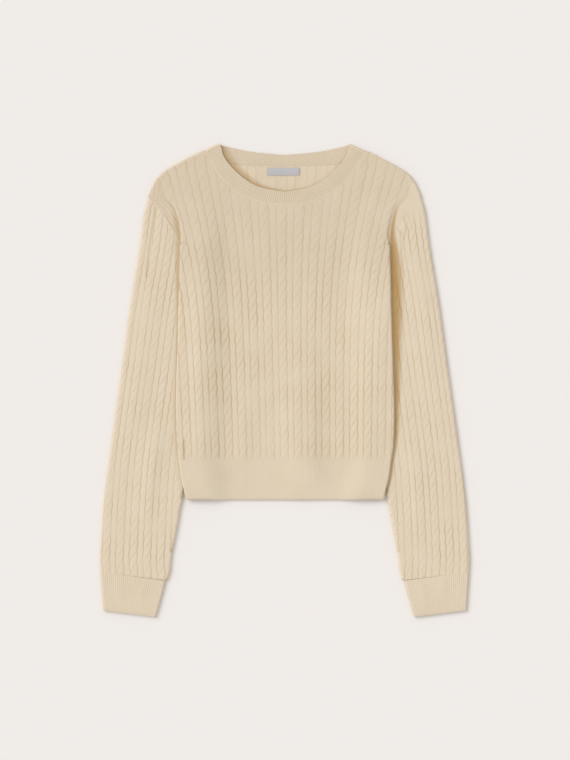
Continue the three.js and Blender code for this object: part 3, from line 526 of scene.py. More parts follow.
# The front panel, its sides turned under
front = {
    "columns": 252, "rows": 320, "step": 4, "turnColumns": 8, "backColumns": 10,
    "neckGap": -0.5,  # below 0 it lies under the band
    "armholeGap": 0.02, "seamDip": 0.2, "seamSoft": 2.2, "hemDip": 0.05, "seamFlat": 0.8,
    "armholeFlat": 0.2, "hemFlat": 0.6, "hemCablesFrom": 8,
    "shoulderRound": 3.2, "shoulderDrop": 2, "shoulderSoft": 8, "foldClear": 6, "foldSoft": 20,
    "tone": 0.14, "seamTone": 0.08, "shadeDimShare": 0.3, "chestShade": 0.05, "chestFrom": 90, "chestOver": 130,
    "stepWidth": [(203, 2), (225, 5), (290, 6)],
    # How strongly the painted shade in the cable grooves shows, place by place
    "contrast": [
        (0, 60, 900, 900, 0.82),
        (-104, 0, 28, 190, 0.22),
        (0, -10, 42, 130, -0.2),
        (0, 285, 250, 95, -0.52),
    ],
    "cut": (0.41, 0.474), "cutArea": 0.158,
    "repeatWidth": [(-104, 20.7), (68, 21.6), (149, 22.9), (211, 24.9), (271, 27.6), (323, 30.3)],
    "repeatMiddle": [(-104, -0.6), (68, -3.5), (149, -4.3), (211, -4.8), (271, -5.2), (323, -5.2)],

    # The band along the armhole seam has no cables: it is ribbed at the left and plain at the right
    "bandHalf": 2, "bandBottom": 203, "bandBottomSoft": 10, "bandTop": 302, "bandTopSoft": 12,
    "bandRib": 5.2, "bandRibAt": 2, "bandRibHeight": 0.5, "bandBase": 0.3, "bandPlain": 0.4,
    "bandRibShade": 0.5, "bandLineFrom": 1.5, "bandLineDepth": 0.4, "bandLight": 0.4,

    "shadeIn": 1.6, "shadeInSoft": 1.8, "shadeBottomSoft": 8,
    "creases": [
        (1.8, 0.6, 0.9, [(-150.5, -90), (-150.5, -118)]),
    ],
    "folds": [
        (-122, 20, 20, 190, 1),
        (-106, 30, 15, 200, 1.6),
        (28, -60, 24, 150, 2),
        (118, 40, 30, 170, 1.6),
        (-30, 200, 60, 45, 0.8),
        (-62, -90, 12, 60, 0.8, 0.06),
        (86, -60, 14, 90, 0.7, -0.05),
    ],
    # Painted shade along fold slopes turned away from the light, and painted light on lit ridges where the
    # height is below 0
    "shades": [
        (-90, 30, 8, 190, 0.08),
        (52, -70, 9, 110, 0.1),
        (-138, 60, 12, 150, -0.1),
        (136, 70, 12, 110, -0.12),
        (0, -80, 14, 70, -0.08),
    ],
}


# The sleeve's cloth is in shade beside the body's edge: (y, width) and (y, strength) rows
foldShades = {
    "Left": {
        "width": [(-125, 1.5), (60, 2.2), (120, 3.5), (195, 7), (240, 6), (270, 3)],
        "strength": [(-110, 0.6), (60, 0.85), (195, 0.9), (245, 0.7), (285, 0)],
        "near": 1,
    },
    "Right": {
        "width": [(-125, 4), (-74, 6.5), (-29, 8), (15, 10), (60, 12), (120, 15.5), (165, 14.5),
                  (195, 11), (215, 8), (240, 5), (270, 2.5)],
        "strength": [(-110, 1.5), (-60, 1.75), (240, 1.75), (288, 0)],
        "near": 0.3,  # close to the edge its own shadow does the rest
    },
    "nearWidth": 3, "fullTo": 0.5, "fadeOver": 1.1,
}


def bodyCrease(y):
    return np.where(y < turnTopY, follow(bodySide, y), follow(creaseX, y))


def foldShade(out, y, word):
    shade = foldShades[word]
    beyond = out - bodyCrease(y)
    near = shade["near"] + (1 - shade["near"]) * ease(beyond / foldShades["nearWidth"])
    share = beyond / follow(shade["width"], y)
    far = 1 - ease((share - foldShades["fullTo"]) / foldShades["fadeOver"])
    return follow(shade["strength"], y) * near * far


def cornerDroop(y):
    return 1 - cloth["cornerDroop"] * ease((tuckEndY - y) / cloth["cornerLength"])


def tuckLift(x, y):
    edge = np.where(y > underarmY, follow(armhole, y), follow(sleeveInner, np.maximum(y, tuckEndY)))
    climb = ease((np.abs(x) - (edge - cloth["tuckSlope"] - 1)) / cloth["tuckSlope"])
    return cloth["tuckRise"] * climb * cornerDroop(y)


def frontSide(y):
    return np.where(y < turnTopY, follow(bodySide, y), follow(armhole, y) - front["armholeGap"])


def frontHeight(x, y):
    out, crease = np.abs(x), bodyCrease(y)
    climb = ease((out - (crease - cloth["sideSlopeStart"])) / cloth["sideSlope"])
    wide = follow(front["stepWidth"], y)
    step = ease((out - (crease - wide)) / wide) * ease((y - turnFullY) / (turnTopY - turnFullY))
    inside = ease((frontSide(y) - front["foldClear"] - out) / front["foldSoft"])
    folds = foldHeight(front["folds"], x, y) * inside
    rise = follow(creaseRise, y) * cornerDroop(y) * climb * (1 - step)
    return bodyLayer + folds + rise + (sleeveLayer - bodyLayer) * step


def frontBend(y):  # distance from the middle line at which the side starts to turn under
    return np.where(y < turnTopY, frontSide(y) - cloth["bodyBend"] - cloth["half"], frontSide(y))


def frontLength(y):
    turned = np.clip((turnTopY - y) / (turnTopY - turnFullY), 0, 1)
    seam = np.where(y > underarmY, follow(armhole, y), follow(sideSeam, y))
    under = np.where(turned < 1, 0, frontBend(y) - seam)
    return frontBend(y) + bodyTurn * turned + under


def panelTop(seam, x):
    out = np.abs(x)
    atNeck = follow(seam, out) - front["neckGap"] * steepness(partial(follow, seam), out)
    return np.where(out < bandShoulderX, atNeck, follow(shoulderAlongX, out))


frontTop, backTop = partial(panelTop, frontSeamAlongX), partial(panelTop, backSeamAlongX)


def frontSurface(s, y):  # middle of the cloth, the way its outer face looks, and how far it is turned
    side = np.where(s < 0, -1.0, 1.0)
    along = np.abs(s)
    bend = frontBend(y)
    angle = np.clip((along - bend) / cloth["bodyBend"], 0, math.pi)
    under = along > bend + bodyTurn
    x = np.where(under, side * (2 * bend + bodyTurn - along), np.where(along > bend, side * bend, s))
    z = np.where(under, cloth["half"] + tuckLift(x, y), frontHeight(x, y))
    radius = np.where((along > bend) & ~under, cloth["bodyBend"], 0)
    normal = turnNormal(side, angle)
    middle = np.stack([x, y, z - radius], 1) + normal * radius[:, None]
    return middle, normal, angle


def sideColumns(columns, turnColumns, backColumns):  # shares of the flat, of the turn and of the way back
    flat = np.linspace(-1, 1, columns + 1 - 2 * (turnColumns + backColumns))
    turned = np.concatenate([np.arange(1, turnColumns + 1) / turnColumns, np.ones(backColumns)])
    back = np.concatenate([np.zeros(turnColumns), np.arange(1, backColumns + 1) / backColumns])
    one, none = np.ones(len(turned)), np.zeros(len(flat))
    return (np.concatenate([-one, flat, one]), np.concatenate([turned[::-1], none, turned]),
            np.concatenate([back[::-1], none, back]))


def bodyRepeat(s, y):
    return (s - follow(front["repeatMiddle"], y)) / follow(front["repeatWidth"], y)


def frontRelief(s, y):
    repeat = bodyRepeat(s, y)
    cables = cableRelief(repeat, y)
    out = np.abs(s)
    fromArmhole = (follow(armhole, y) - out) / steepness(partial(follow, armhole), y)
    ends = (ease((y - front["bandBottom"]) / front["bandBottomSoft"])
            * ease((front["bandTop"] - y) / front["bandTopSoft"]))
    band = ease((out - follow(creaseX, y) + front["bandHalf"]) / (2 * front["bandHalf"])) * ends
    ribs = ribRelief(fromArmhole - front["bandRibAt"], front["bandRib"], front["bandRibHeight"])
    ribs = np.where(s > 0, front["bandPlain"], front["bandBase"] + ribs)
    return cables * (1 - band) + ribs * band, repeat, band


def placeFront(column, row):
    flat, turned, back = sideColumns(front["columns"], front["turnColumns"], front["backColumns"])
    top = columnTops(flat, frontTop, frontBend)
    y = hemTop + (top[column] - hemTop) * row / front["rows"]
    bend, length = frontBend(y), frontLength(y)
    beyond = bodyTurn * turned[column] + np.maximum(length - bend - bodyTurn, 0) * back[column]
    s = np.sign(flat[column]) * np.minimum(np.abs(flat[column]) * bend + beyond, length)
    middle, normal, angle = frontSurface(s, y)
    relief, repeat, band = frontRelief(s, y)

    out = np.abs(middle[:, 0])
    fromTop = (frontTop(out) - y) / steepness(frontTop, out)
    fromHem = y - hemTop
    fromArmhole = np.where((y > turnTopY) & (s < 0), frontSide(y) - out, np.inf)
    seam = 1 - ease(np.minimum(fromTop, fromArmhole) / front["seamSoft"])
    hemSeam = 1 - ease(fromHem / front["seamSoft"])
    rounded = front["shoulderDrop"] * edgeDrop(fromTop, front["shoulderRound"])
    shoulderDip = rounded * ease((out - bandShoulderX) / front["shoulderSoft"])
    seamDip = np.where(fromArmhole < fromTop, 0, front["seamDip"])
    dip = np.maximum(seamDip * seam, front["hemDip"] * hemSeam)
    middle[:, 2] -= np.maximum(dip, shoulderDip) * (angle < cloth["flatBelow"])
    flatter = np.where(fromArmhole < fromTop, front["armholeFlat"], front["seamFlat"]) * seam
    relief = relief * turnFade(angle) * (1 - flatter) * (1 - front["hemFlat"] * hemSeam)
    # a crease dents the cloth, and painted shade darkens it
    depth, paintedCreaseShade = creaseMarks(front["creases"], s, y)
    middle[:, 2] -= depth

    isRight = s > 0
    # painted shade on the cloth beside the body's turned edge, where it lies over a sleeve
    shaded = (ease((out - follow(creaseX, y) + front["shadeIn"]) / front["shadeInSoft"])
              * ease((y - turnFullY) / front["shadeBottomSoft"]))
    paintedFoldShade = np.where(isRight, foldShade(out, y, "Right"), foldShade(out, y, "Left")) * shaded
    shades = foldHeight(front["shades"], s, y)
    tone = (front["tone"] + shades) * (1 - front["bandLight"] * band * isRight) + paintedCreaseShade
    # painted shade, darker towards the top of the front
    paintedChestShade = front["chestShade"] * ease((y - front["chestFrom"]) / front["chestOver"])
    # painted shade in the valleys between the ribs of the band at the left armhole
    between = ease(front["bandLineFrom"] - relief / front["bandLineDepth"])
    ribLines = front["bandRibShade"] * band * (s < 0) * between
    contrast = foldHeight(front["contrast"], s, y) * ease(fromHem / front["hemCablesFrom"])
    return {"middle": middle, "normal": normal, "relief": relief, "knit": np.stack([s, y], 1),
            "shadeAndTone": front["seamTone"] * seam + ribLines + tone + paintedFoldShade,
            "dimming": (paintedChestShade + front["shadeDimShare"] * shades) * (1 - band * isRight),
            "cable": cablePlace(repeat, y),
            "cabled": turnFade(angle) * (1 - band) * (1 - seam) * contrast}


frontPiece = addPiece("bodyFront", "body_front", cableKnit, placeFront, front["columns"], front["rows"],
                      front["step"])


# The back panel: its inside shows in the neck, and its outer face lies on the ground
back = {"columns": 168, "rows": 216, "edgeGap": 0.6, "cut": (0.408, 0.474), "cutArea": 0.127,
        "depth": 0.5, "tone": 0.1, "contrast": 0.3, "shoulderDrop": 1.4,
        "insideDepth": 0.45, "insideTone": 0.16}

# The front's neckline shades what lies behind it, most at its left: (x, width) and (x, strength)
neckShadeWidth = [(-96, 20), (-70, 17), (-45, 11), (-20, 6), (10, 3), (60, 2)]
neckShadeStrength = [(-96, 1.3), (-60, 1.3), (-30, 1.1), (0, 0.8), (30, 0.4), (60, 0.2)]


def neckShade(x, y):
    out = np.minimum(np.abs(x), neckPointX)
    beyond = (y - follow(frontEdgeAlongX, out)) / steepness(partial(follow, frontEdgeAlongX), out)
    return follow(neckShadeStrength, x) * (1 - ease(beyond / follow(neckShadeWidth, x)))


def backEdge(y):
    return np.where(y < underarmY, follow(sideSeam, y), follow(armhole, y)) - back["edgeGap"]


def placeBack(column, row):
    flat = np.linspace(-1, 1, back["columns"] + 1)
    top = columnTops(flat, backTop, backEdge)
    y = hemTop + (top[column] - hemTop) * row / back["rows"]
    x = flat[column] * backEdge(y)
    repeat = bodyRepeat(x, y)
    cables = cableRelief(repeat, y) / cable["height"]
    fromTop = (backTop(x) - y) / steepness(backTop, np.abs(x))
    rounded = back["shoulderDrop"] * edgeDrop(fromTop, front["shoulderRound"]) * (np.abs(x) > bandShoulderX)
    return {"middle": np.stack([x, y, np.full(len(x), cloth["half"])], 1),
            "normal": np.tile([0.0, 0.0, -1.0], (len(x), 1)),
            "relief": back["depth"] * (cables - 1) - rounded,
            "innerRelief": back["insideDepth"] * (cables - 0.5),
            "knit": np.stack([x, y], 1), "shadeAndTone": np.full(len(x), back["tone"]),
            "innerShadeAndTone": back["insideTone"] + neckShade(x, y),
            "cable": cablePlace(repeat, y), "cabled": np.full(len(x), back["contrast"])}


backPiece = addPiece("bodyBack", "body_back", cableKnit, placeBack, back["columns"], back["rows"])


# The hem, a ring of fine ribs all round the body
hem = {"stretches": (626, 6, 62, 6),  # columns: over the top, the right turn, underneath, the left turn
       "rows": 20, "seamGap": 0.02,
       "ribPitch": 3, "ribHeight": 0.22, "ribShade": 0.1, "tone": 0.06, "edgeTone": 0.1, "edgeFlat": 0.5,
       "edgeDip": 0.8, "topDip": 0.06, "edgeSoft": 2.2,
       # Painted shade in broad bands over the hem's soft folds, with a little painted light between them
       "shades": [
           (-82, -138, 14, 40, 0.045),
           (55, -128, 14, 40, 0.04),
           (6, -145, 26, 40, -0.02),
       ],
       "cut": (0.64, 0.0592)}


def placeHem(column, row):
    y = hemBottom + (hemTop - hem["seamGap"] - hemBottom) * row / hem["rows"]
    bend = frontBend(y)
    onTop, rightTurn, below, leftTurn = stretchShares(column, hem["stretches"])
    s = bend * (2 * onTop - 1) + bodyTurn * rightTurn
    s = np.where(leftTurn > 0, -bend - bodyTurn * (1 - leftTurn), s)
    middle, normal, angle = frontSurface(s, y)
    underX = bend * (1 - 2 * below)
    isUnder = (below > 0) & (leftTurn == 0)
    underMiddle = np.stack([underX, y, cloth["half"] + tuckLift(underX, y)], 1)
    middle = np.where(isUnder[:, None], underMiddle, middle)
    normal = np.where(isUnder[:, None], np.array([0.0, 0.0, -1.0]), normal)
    fade = turnFade(angle) * ~isUnder
    relief = ribRelief(s, hem["ribPitch"], hem["ribHeight"]) * fade
    seam = 1 - ease((y - hemBottom) / hem["edgeSoft"])
    topSeam = 1 - ease((hemTop - y) / hem["edgeSoft"])
    middle[:, 2] -= (hem["edgeDip"] * seam + hem["topDip"] * topSeam) * (fade > 0.5)
    # painted shade in the valleys between the ribs
    lines = hem["ribShade"] * (1 - relief / hem["ribHeight"]) * fade
    around = np.where(isUnder, bend + bodyTurn + bend - underX, s)
    return {"middle": middle, "normal": normal, "relief": relief * (1 - hem["edgeFlat"] * seam),
            "knit": np.stack([around, y], 1), "dimming": foldHeight(hem["shades"], s, y),
            "shadeAndTone": lines + hem["edgeTone"] * seam + hem["tone"]}


hemPiece = addPiece("hemWelt", "hem", ribKnit, placeHem, sum(hem["stretches"]), hem["rows"], tube=True)


# The sleeves, flat tubes whose inner edges are tucked under the body
sleeve = {
    "stretches": (6, 84, 8, 22),  # columns: the inner turn, over the top, the outer turn, underneath
    "rows": 400, "step": 2,
    "rowSlope": 0.124, "bottom": -287.3, "topFrom": 240, "rounds": 60, "armholeSteps": 400, "seamGap": 0.02,
    "capLength": {"Left": 5, "Right": 26}, "capHeight": 0.4, "contrast": 0.85, "height": 0.78,
    "seamFlat": 0.8, "cuffFlat": 0.6,
    "showFrom": 2, "showOver": 5,  # the relief starts where the sleeve comes out from under the body
    "foldFrom": 4, "foldOver": 16, "foldBottom": -285, "foldBottomSoft": 30, "foldTopSoft": 25,
    "fadeFrom": 1.7, "fadeOver": 1.2, "lowerShift": 300,
    "gather": {"height": 0.5, "pitch": 13, "length": 9},
    "firstCable": [(-284, 8.9), (-179, 7), (-104, 3.3), (60, 2.6)],
    "folds": [  # x is the distance in from the outer edge
        (30, 40, 18, 150, 1.4),
        (60, -150, 16, 70, 1.2),
        (35, 220, 22, 50, 1),
    ],
    "ownFolds": {
        "Left": [(68, -140, 11, 70, 1.6)],
        "Right": [(74, -155, 11, 75, 1.6),
                  (20, 130, 12, 80, 0.9)],
    },
    "creases": {
        "Left": [
            (1.5, 0.8, 0.6, [(194, 258), (198, 230), (203, 195), (207, 155)]),
            (1.1, 0.5, 0.5, [(199, 266), (193, 258)]),
            (1.3, 0.4, 0.35, [(181, 250), (171, 236), (165, 222)]),
        ],
        "Right": [
            (1.2, 0.5, 0.7, [(175, 248), (180, 241), (182, 228), (179, 212)]),
            (1.1, 0.3, 0.45, [(168, 232), (172, 223), (175, 219)]),
            (1.2, 0.4, 0.6, [(173, 224), (174, 208), (175, 190), (178, 160)]),
            (1.1, 0.3, 0.35, [(181, 250), (186, 244), (188, 236)]),
        ],
    },
    "cut": (0.235, 0.59), "cutArea": 0.115,
}
armholeHeights = np.linspace(underarmY, armholeTopY, sleeve["armholeSteps"])
armholeWidths = follow(armhole, armholeHeights)


def armholeY(x):
    return np.interp(x - sleeve["seamGap"], armholeWidths, armholeHeights)


def sleeveHeight(inward, y, x, word):
    outOfBody = ease((x - follow(bodySide, y) - sleeve["foldFrom"]) / sleeve["foldOver"])
    awayFromEnds = (ease((y - sleeve["foldBottom"]) / sleeve["foldBottomSoft"])
                    * ease((armholeY(x) - y) / sleeve["foldTopSoft"]))
    folds = sleeve["folds"] + sleeve["ownFolds"][word]
    return sleeveLayer + foldHeight(folds, inward, y) * outOfBody * awayFromEnds


def placeSleeve(side, word):
    def place(column, row):
        index = np.arange(sum(sleeve["stretches"]) + 1)
        onTop, below, angle, outward = tubeTurns(index, sleeve["stretches"])

        def across(t):  # distance from the outer edge to where the cloth is or turns
            inner = follow(sleeveOuter, t) - follow(sleeveInner, t) - sleeveEdge
            upper = inner + (sleeveEdge - inner) * onTop[index]
            return np.where(below[index] > 0, sleeveEdge + (inner - sleeveEdge) * below[index], upper)

        bulge = outward * np.sin(angle) * sleeveEdge
        top = np.full(len(index), float(sleeve["topFrom"]))
        for step in range(sleeve["rounds"]):
            inward = across(top)
            y = top - sleeve["rowSlope"] * inward
            top = top + (armholeY(follow(sleeveOuter, y) - inward + bulge) - y) / 2
        index = column
        t = sleeve["bottom"] + (top[column] - sleeve["bottom"]) * row / sleeve["rows"]
        inward = across(t)
        y = t - sleeve["rowSlope"] * inward
        x = follow(sleeveOuter, y) - inward
        turned, facing, isLower = angle[column], outward[column], below[column] > 0
        height = np.where(turned > 0, sleeveEdge, sleeveHeight(inward, y, x, word))
        radius = np.where(turned > 0, cloth["sleeveBend"], 0)
        normal = turnNormal(facing, turned)
        middle = np.stack([x, y, height], 1) + normal * radius[:, None]

        onOuter = (facing > 0) & (turned > 0)
        knitAcross = np.where(onOuter, sleeveEdge - sleeveEdge * turned, inward)
        repeat = (knitAcross - follow(sleeve["firstCable"], t)) / cable["sleeveRepeat"]
        visible = (ease((x - follow(bodySide, y) - sleeve["showFrom"]) / sleeve["showOver"])
                   * (1 - ease((turned - sleeve["fadeFrom"]) / sleeve["fadeOver"])) * ~isLower)
        slope = np.interp(x, armholeWidths, np.gradient(armholeHeights, armholeWidths))
        fromTop = (armholeY(x) - y) / np.hypot(1, slope)
        fromCuff = t - sleeve["bottom"]
        seam = (1 - ease(fromTop / front["seamSoft"])) * (side < 0)
        cuffSeam = 1 - ease(fromCuff / front["seamSoft"])
        # a crease dents the sleeve and painted shade darkens it; painted shade also lies beside the body's
        # edge
        depth, shade = creaseMarks(sleeve["creases"][word], x, y)
        gather = sleeve["gather"]
        waves = 0.5 + 0.5 * np.cos(2 * math.pi * inward / gather["pitch"])
        depth = depth + gather["height"] * waves * np.exp(-np.maximum(fromCuff, 0) / gather["length"])
        middle[:, 2] -= (front["hemDip"] * cuffSeam + depth) * (turned < cloth["flatBelow"])
        cap = ease(fromTop / sleeve["capLength"][word])
        cables = cableRelief(repeat, t, -side) * sleeve["height"] * cap
        plain = sleeve["capHeight"] * (1 - cap) * (1 - sleeve["seamFlat"] * seam)
        relief = (cables + plain) * visible * (1 - sleeve["cuffFlat"] * cuffSeam)
        mirror = np.array([side, 1.0, 1.0])
        return {"middle": middle * mirror, "normal": normal * mirror, "relief": relief,
                "knit": np.stack([knitAcross + sleeve["lowerShift"] * isLower, t], 1),
                "shadeAndTone": front["seamTone"] * seam + shade + foldShade(x, y, word),
                "cable": cablePlace(repeat, t, -side), "cabled": visible * cap * sleeve["contrast"]}
    return place


for side, word in ((-1, "Left"), (1, "Right")):
    piece = addPiece("sleeve" + word, "sleeve_" + word.lower(), cableKnit, placeSleeve(side, word),
                     sum(sleeve["stretches"]), sleeve["rows"], sleeve["step"], tube=True)


# The cuffs: rings of fine ribs
cuff = {
    "stretches": (8, 186, 8, 38), "rows": 20,  # columns, as in a sleeve
    "outerX": [(0, 276), (0.4, 274.5), (1, 272)], "outerY": [(0, -287.5), (0.4, -310), (1, -345)],
    "innerX": [(0, 179), (0.4, 184.5), (1, 193.5)], "innerY": [(0, -299.5), (0.4, -322), (1, -354)],
    "ribs": 30, "turnRibs": 2, "ribPitch": 3, "ribHeight": 0.4, "ribShade": 0.42, "tone": -0.12,
    "edgeDip": 0.7, "topDip": 0.12, "edgeSoft": 0.05, "edgeTone": 0.1, "foldSoft": 0.1, "foldEnds": 0.15,
    "lowerShift": 200,
    "cut": (0.18, 0.0562),
    "folds": {  # places and widths are shares of the cuff's own width and length
        "Left": [(0.3, 0.25, 0.07, 0.4, 0.8),
                 (0.72, 0.4, 0.09, 0.5, 0.7)],
        "Right": [(0.22, 0.45, 0.08, 0.5, 0.7),
                  (0.6, 0.2, 0.07, 0.35, 0.9)],
    },
}


def placeCuff(side, word):
    def place(column, row):
        share = 1 - row / cuff["rows"]
        outerX, innerX = follow(cuff["outerX"], share), follow(cuff["innerX"], share)
        outerY, innerY = follow(cuff["outerY"], share), follow(cuff["innerY"], share)
        onTop, below, angle, facing = tubeTurns(column, cuff["stretches"])
        across = np.where(below > 0, 1 - below, onTop)
        x = innerX + sleeveEdge + (outerX - innerX - 2 * sleeveEdge) * across
        y = innerY + (outerY - innerY) * across
        normal = turnNormal(facing, angle)
        middle = np.stack([x, y, 0 * x + sleeveEdge], 1) + normal * cloth["sleeveBend"]
        dents = foldHeight(cuff["folds"][word], across, share) * (angle < cloth["flatBelow"])
        for inFrom, soft in ((across, cuff["foldSoft"]), (share, cuff["foldEnds"])):
            dents = dents * ease(inFrom / soft) * ease((1 - inFrom) / soft)
        middle[:, 2] += dents
        ribs = across * cuff["ribs"] + facing * angle / math.pi * cuff["turnRibs"]
        relief = ribRelief(ribs, 1, cuff["ribHeight"]) * turnFade(angle)
        seam, topSeam = 1 - ease((1 - share) / cuff["edgeSoft"]), 1 - ease(share / cuff["edgeSoft"])
        dip = cuff["edgeDip"] * seam + cuff["topDip"] * topSeam
        middle[:, 2] -= dip * (angle < cloth["flatBelow"])
        # painted shade in the valleys between the ribs
        lines = cuff["ribShade"] * (1 - relief / cuff["ribHeight"]) * turnFade(angle)
        mirror = np.array([side, 1.0, 1.0])
        around = ribs * cuff["ribPitch"] + cuff["lowerShift"] * (below > 0)
        return {"middle": middle * mirror, "normal": normal * mirror, "relief": relief,
                "knit": np.stack([around, y], 1), "shadeAndTone": lines + cuff["edgeTone"] * seam + cuff["tone"]}
    return place


for side, word in ((-1, "Left"), (1, "Right")):
    piece = addPiece("cuff" + word, "cuff_" + word.lower(), ribKnit, placeCuff(side, word),
                     sum(cuff["stretches"]), cuff["rows"], tube=True)


# The neckband: a folded ribbed band that goes round the neck, rounded along its free edge
neckband = {
    "perRib": 6, "stretches": (85 * 6, 8, 70 * 6, 8),  # columns: 85 ribs in front, 70 at the back
    "wayAcross": 32,
    "half": 1.1, "ribHeight": 0.5, "outward": (0.48, 0.877), "edgeLift": 1.1, "liftEnds": 8,
    "crown": 1, "faceRound": 0.7, "edgeRound": 0.35,
    "linkHeight": 0.5, "linkAt": 0.05, "linkHalf": 0.035, "linkTurn": 0.5, "linkHighlight": -0.2,
    "tone": 0.06, "dimming": 0.045, "ribShade": 0.5, "ribShadeFrom": 0.9, "knitRound": 40,
    "cut": (0.49, 0.021),
}


def bandRibShade(seamTable, edgeTable, g, v):  # a point across the band, at a share g of the way to its turn
    seamX, edgeX = bandTurnX * g, neckPointX * g
    seamY = follow(seamTable, np.abs(seamX))
    edgeY = follow(edgeTable, np.abs(edgeX))
    return seamX + (edgeX - seamX) * v, seamY + (edgeY - seamY) * v


def evenStops(seamTable, edgeTable, count, fine=4001):
    g = np.linspace(-1, 1, fine)
    x, y = bandRibShade(seamTable, edgeTable, g, 0.5)
    length = np.concatenate([[0], np.cumsum(np.hypot(np.diff(x), np.diff(y)))])
    return np.interp(np.linspace(0, length[-1], count + 1), length, g), length[-1]


def placeBand(column, row):
    frontCount, turn, backCount, turn = neckband["stretches"]
    frontG, frontLong = evenStops(frontSeamAlongX, frontEdgeAlongX, frontCount)
    backG, backLong = evenStops(backSeamAlongX, backEdgeAlongX, backCount)
    backStart, backEnd = frontCount + turn, frontCount + turn + backCount
    onFront = np.clip(column, 0, frontCount)
    onBack = np.clip(column - backStart, 0, backCount)
    turns = stretchShares(column, neckband["stretches"])
    angle = math.pi * (turns[1] - turns[3])
    isBack = (column >= backStart) & (column <= backEnd)
    g = np.where(isBack, -backG[onBack], frontG[onFront])
    g = np.where(column > backEnd, -1.0, g)

    # Once round the section: over the outer face, round the free edge, back, and round the seam
    around = 2 * math.pi * row / neckband["wayAcross"]
    v = 0.5 - 0.5 * np.sign(np.cos(around)) * np.abs(np.cos(around)) ** neckband["faceRound"]
    lift = np.sign(np.sin(around)) * np.abs(np.sin(around)) ** neckband["edgeRound"]
    frontX, frontY = bandRibShade(frontSeamAlongX, frontEdgeAlongX, g, v)
    backX, backY = bandRibShade(backSeamAlongX, backEdgeAlongX, g, v)
    x, y = np.where(isBack, backX, frontX), np.where(isBack, backY, frontY)
    bend = (bodyLayer - cloth["half"]) / 2
    side = np.sign(g)
    outX, outY = neckband["outward"]
    normal = turnNormal(side * outX, angle, outY)
    middle = np.stack([x, y, 0 * x + cloth["half"] + bend], 1) + normal * bend
    crown = neckband["crown"] * np.sin(math.pi * v) * np.sin(angle)
    middle[:, 0] += side * outX * crown
    middle[:, 1] += outY * crown
    lifted = (1 - g ** neckband["liftEnds"]) * ~isBack * (angle < cloth["flatBelow"])
    middle[:, 2] += neckband["edgeLift"] * v ** 2 * lifted
    ribShape = ribRelief(column, neckband["perRib"], neckband["ribHeight"])
    fromLink = (v - neckband["linkAt"]) / neckband["linkHalf"]
    link = np.exp(-fromLink ** 2) * (lift > 0) * (angle < neckband["linkTurn"])
    total = lift * (neckband["half"] + ribShape * np.abs(lift)) + neckband["linkHeight"] * link
    total = np.where(isBack, np.minimum(total, neckband["half"]), total)
    # painted shade in the valleys between the ribs
    between = np.clip(neckband["ribShadeFrom"] - ribShape / neckband["ribHeight"], 0, 1)
    # the raised linking line gets a painted highlight
    lines = neckband["ribShade"] * between * (1 - link) + neckband["linkHighlight"] * link
    shadeAndTone = neckband["tone"] + lines + neckShade(x, y) * isBack
    reach = np.where(isBack, frontLong + backLong * onBack / backCount, frontLong * onFront / frontCount)
    return {"middle": middle, "normal": normal, "half": 0, "relief": total,
            "dimming": neckband["dimming"] * (1 - link), "shadeAndTone": shadeAndTone,
            "knit": np.stack([reach, neckband["knitRound"] * row / neckband["wayAcross"]], 1)}


bandPiece = addPiece("neckBand", "neckband", ribKnit, placeBand, sum(neckband["stretches"]),
                     neckband["wayAcross"], ring=True)


# The label under the back of the neckband, left bare
label = {
    "width": 48, "height": 11.4, "at": (-2, 313.2), "low": 2.5, "thickness": 0.6, "bow": 0.5,
    "columns": 48, "rows": 12, "colour": (0.56, 0.54, 0.55), "shade": (0.4, 0.39, 0.42),
    "warp": 0.5, "weft": 0.42, "weaveShade": 0.35, "stitch": 1.2, "stitchInset": 1.1, "stitchHalf": 0.25,
    "roughness": 0.42, "sheen": 0.2, "bump": 0.4, "threadDepth": 0.1,
}


def ribbonMaterial(name, finish):
    material, tree = newMaterial(name)
    calc = partial(mathNode, tree)
    parts = tree.nodes.new("ShaderNodeSeparateXYZ")
    feed(tree, parts.inputs[0], mapNode(tree, "knit"))

    def threads(axis, pitch):
        turns = calc("MULTIPLY", parts.outputs[axis], 2 * math.pi / (pitch * mm))
        return calc("MULTIPLY_ADD", calc("SINE", turns), 0.5, 0.5)

    weave = calc("MULTIPLY", threads("X", finish["warp"]), threads("Y", finish["weft"]))
    fromMiddle = calc("ADD", parts.outputs["X"], -finish["at"][0] * mm)
    seamAt = (finish["width"] / 2 - finish["stitchInset"]) * mm
    fromSeam = calc("ADD", calc("ABSOLUTE", fromMiddle), -seamAt)
    onSeam = calc("LESS_THAN", calc("ABSOLUTE", fromSeam), finish["stitchHalf"] * mm)
    sewing = calc("MULTIPLY", onSeam, threads("Y", finish["stitch"]))
    weaveShade = calc("MULTIPLY_ADD", weave, -finish["weaveShade"], finish["weaveShade"])
    giveLooks(tree, {
        "Base Color": mixNode(tree, calc("MAXIMUM", sewing, weaveShade),
                              (*finish["colour"], 1), (*finish["shade"], 1)),
        "Normal": bumpNode(tree, calc("SUBTRACT", weave, sewing), finish["bump"],
                           finish["threadDepth"]),
        "Roughness": finish["roughness"],
        "Sheen Weight": finish["sheen"],
    })
    return material


def placeLabel(column, row):
    x = label["at"][0] + label["width"] * (column / label["columns"] - 0.5)
    y = label["at"][1] + label["height"] * (row / label["rows"] - 0.5)
    bow = label["bow"] * np.sin(math.pi * row / label["rows"])
    return {"middle": np.stack([x, y, label["low"] + label["thickness"] / 2 + bow], 1),
            "normal": np.tile([0.0, 0.0, 1.0], (len(x), 1)), "half": label["thickness"] / 2,
            "relief": 0 * x, "knit": np.stack([x, y], 1), "shadeAndTone": 0 * x}


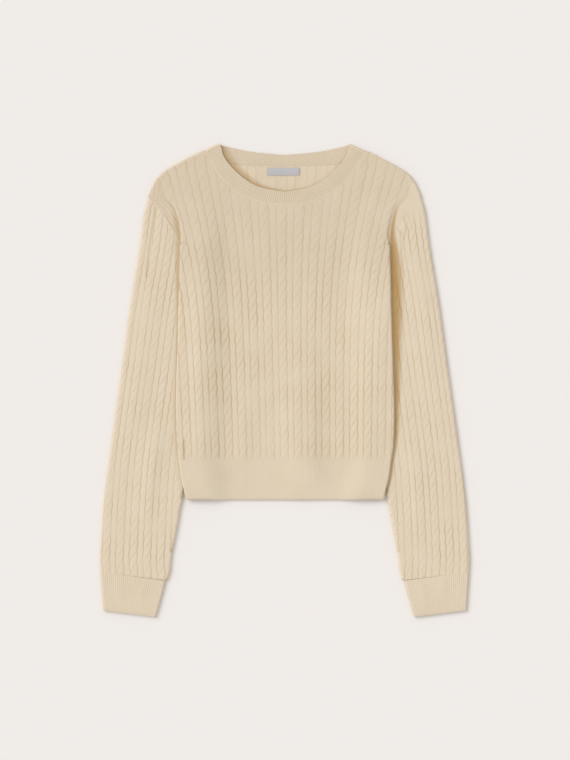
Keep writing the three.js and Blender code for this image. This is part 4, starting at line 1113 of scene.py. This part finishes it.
labelRibbon = (ribbonMaterial("labelRibbon", label), "label_ribbon")
labelPiece = addPiece("neckLabel", "neck_label", labelRibbon, placeLabel, label["columns"], label["rows"])


# Floor, light and camera
studio = {
    "floor": (0.893, 0.853, 0.823), "floorRoughness": 0.9, "floorGloss": 0.1, "floorSize": 6,
    "floorLow": 0.0003, "sky": 0.7, "keyAt": (-2.2, 1.3, 2.4), "keySpread": 34, "keyStrength": 1.3,
    "cameraHeight": 6, "cameraReach": 50, "imageHeight": 1.14, "centre": (0.0003, 0.00075),
}


def makeFloor():
    mesh = bpy.data.meshes.new("floor")
    bm = bmesh.new()
    bmesh.ops.create_grid(bm, x_segments=1, y_segments=1, size=studio["floorSize"])
    bmesh.ops.translate(bm, verts=bm.verts, vec=(0, 0, -studio["floorLow"]))
    bm.to_mesh(mesh)
    bm.free()
    floor = bpy.data.objects.new("floor", mesh)
    bpy.context.collection.objects.link(floor)
    paper, tree = newMaterial("paper")
    giveLooks(tree, {"Base Color": (*studio["floor"], 1), "Roughness": studio["floorRoughness"],
                     "Specular IOR Level": studio["floorGloss"]})
    mesh.materials.append(paper)


def makeLight():
    world = bpy.data.worlds.new("studio")
    world.use_nodes = True
    background = world.node_tree.nodes["Background"]
    background.inputs["Color"].default_value = (1, 1, 1, 1)
    background.inputs["Strength"].default_value = studio["sky"]
    bpy.context.scene.world = world
    light = bpy.data.lights.new("key", "SUN")
    light.angle = math.radians(studio["keySpread"])
    light.energy = studio["keyStrength"]
    key = bpy.data.objects.new("key", light)
    key.location = studio["keyAt"]
    key.rotation_euler = (-Vector(studio["keyAt"])).to_track_quat("-Z", "Y").to_euler()
    bpy.context.collection.objects.link(key)


def makeCamera():
    lens = bpy.data.cameras.new("camera")
    lens.sensor_width = 36
    lens.lens = lens.sensor_width * studio["cameraHeight"] / studio["imageHeight"]
    lens.clip_end = studio["cameraReach"]
    camera = bpy.data.objects.new("camera", lens)
    camera.location = (*studio["centre"], studio["cameraHeight"])
    bpy.context.collection.objects.link(camera)
    bpy.context.scene.camera = camera


bpy.context.scene.view_settings.view_transform = "Standard"
makeFloor()
makeLight()
makeCamera()
print("studio made")
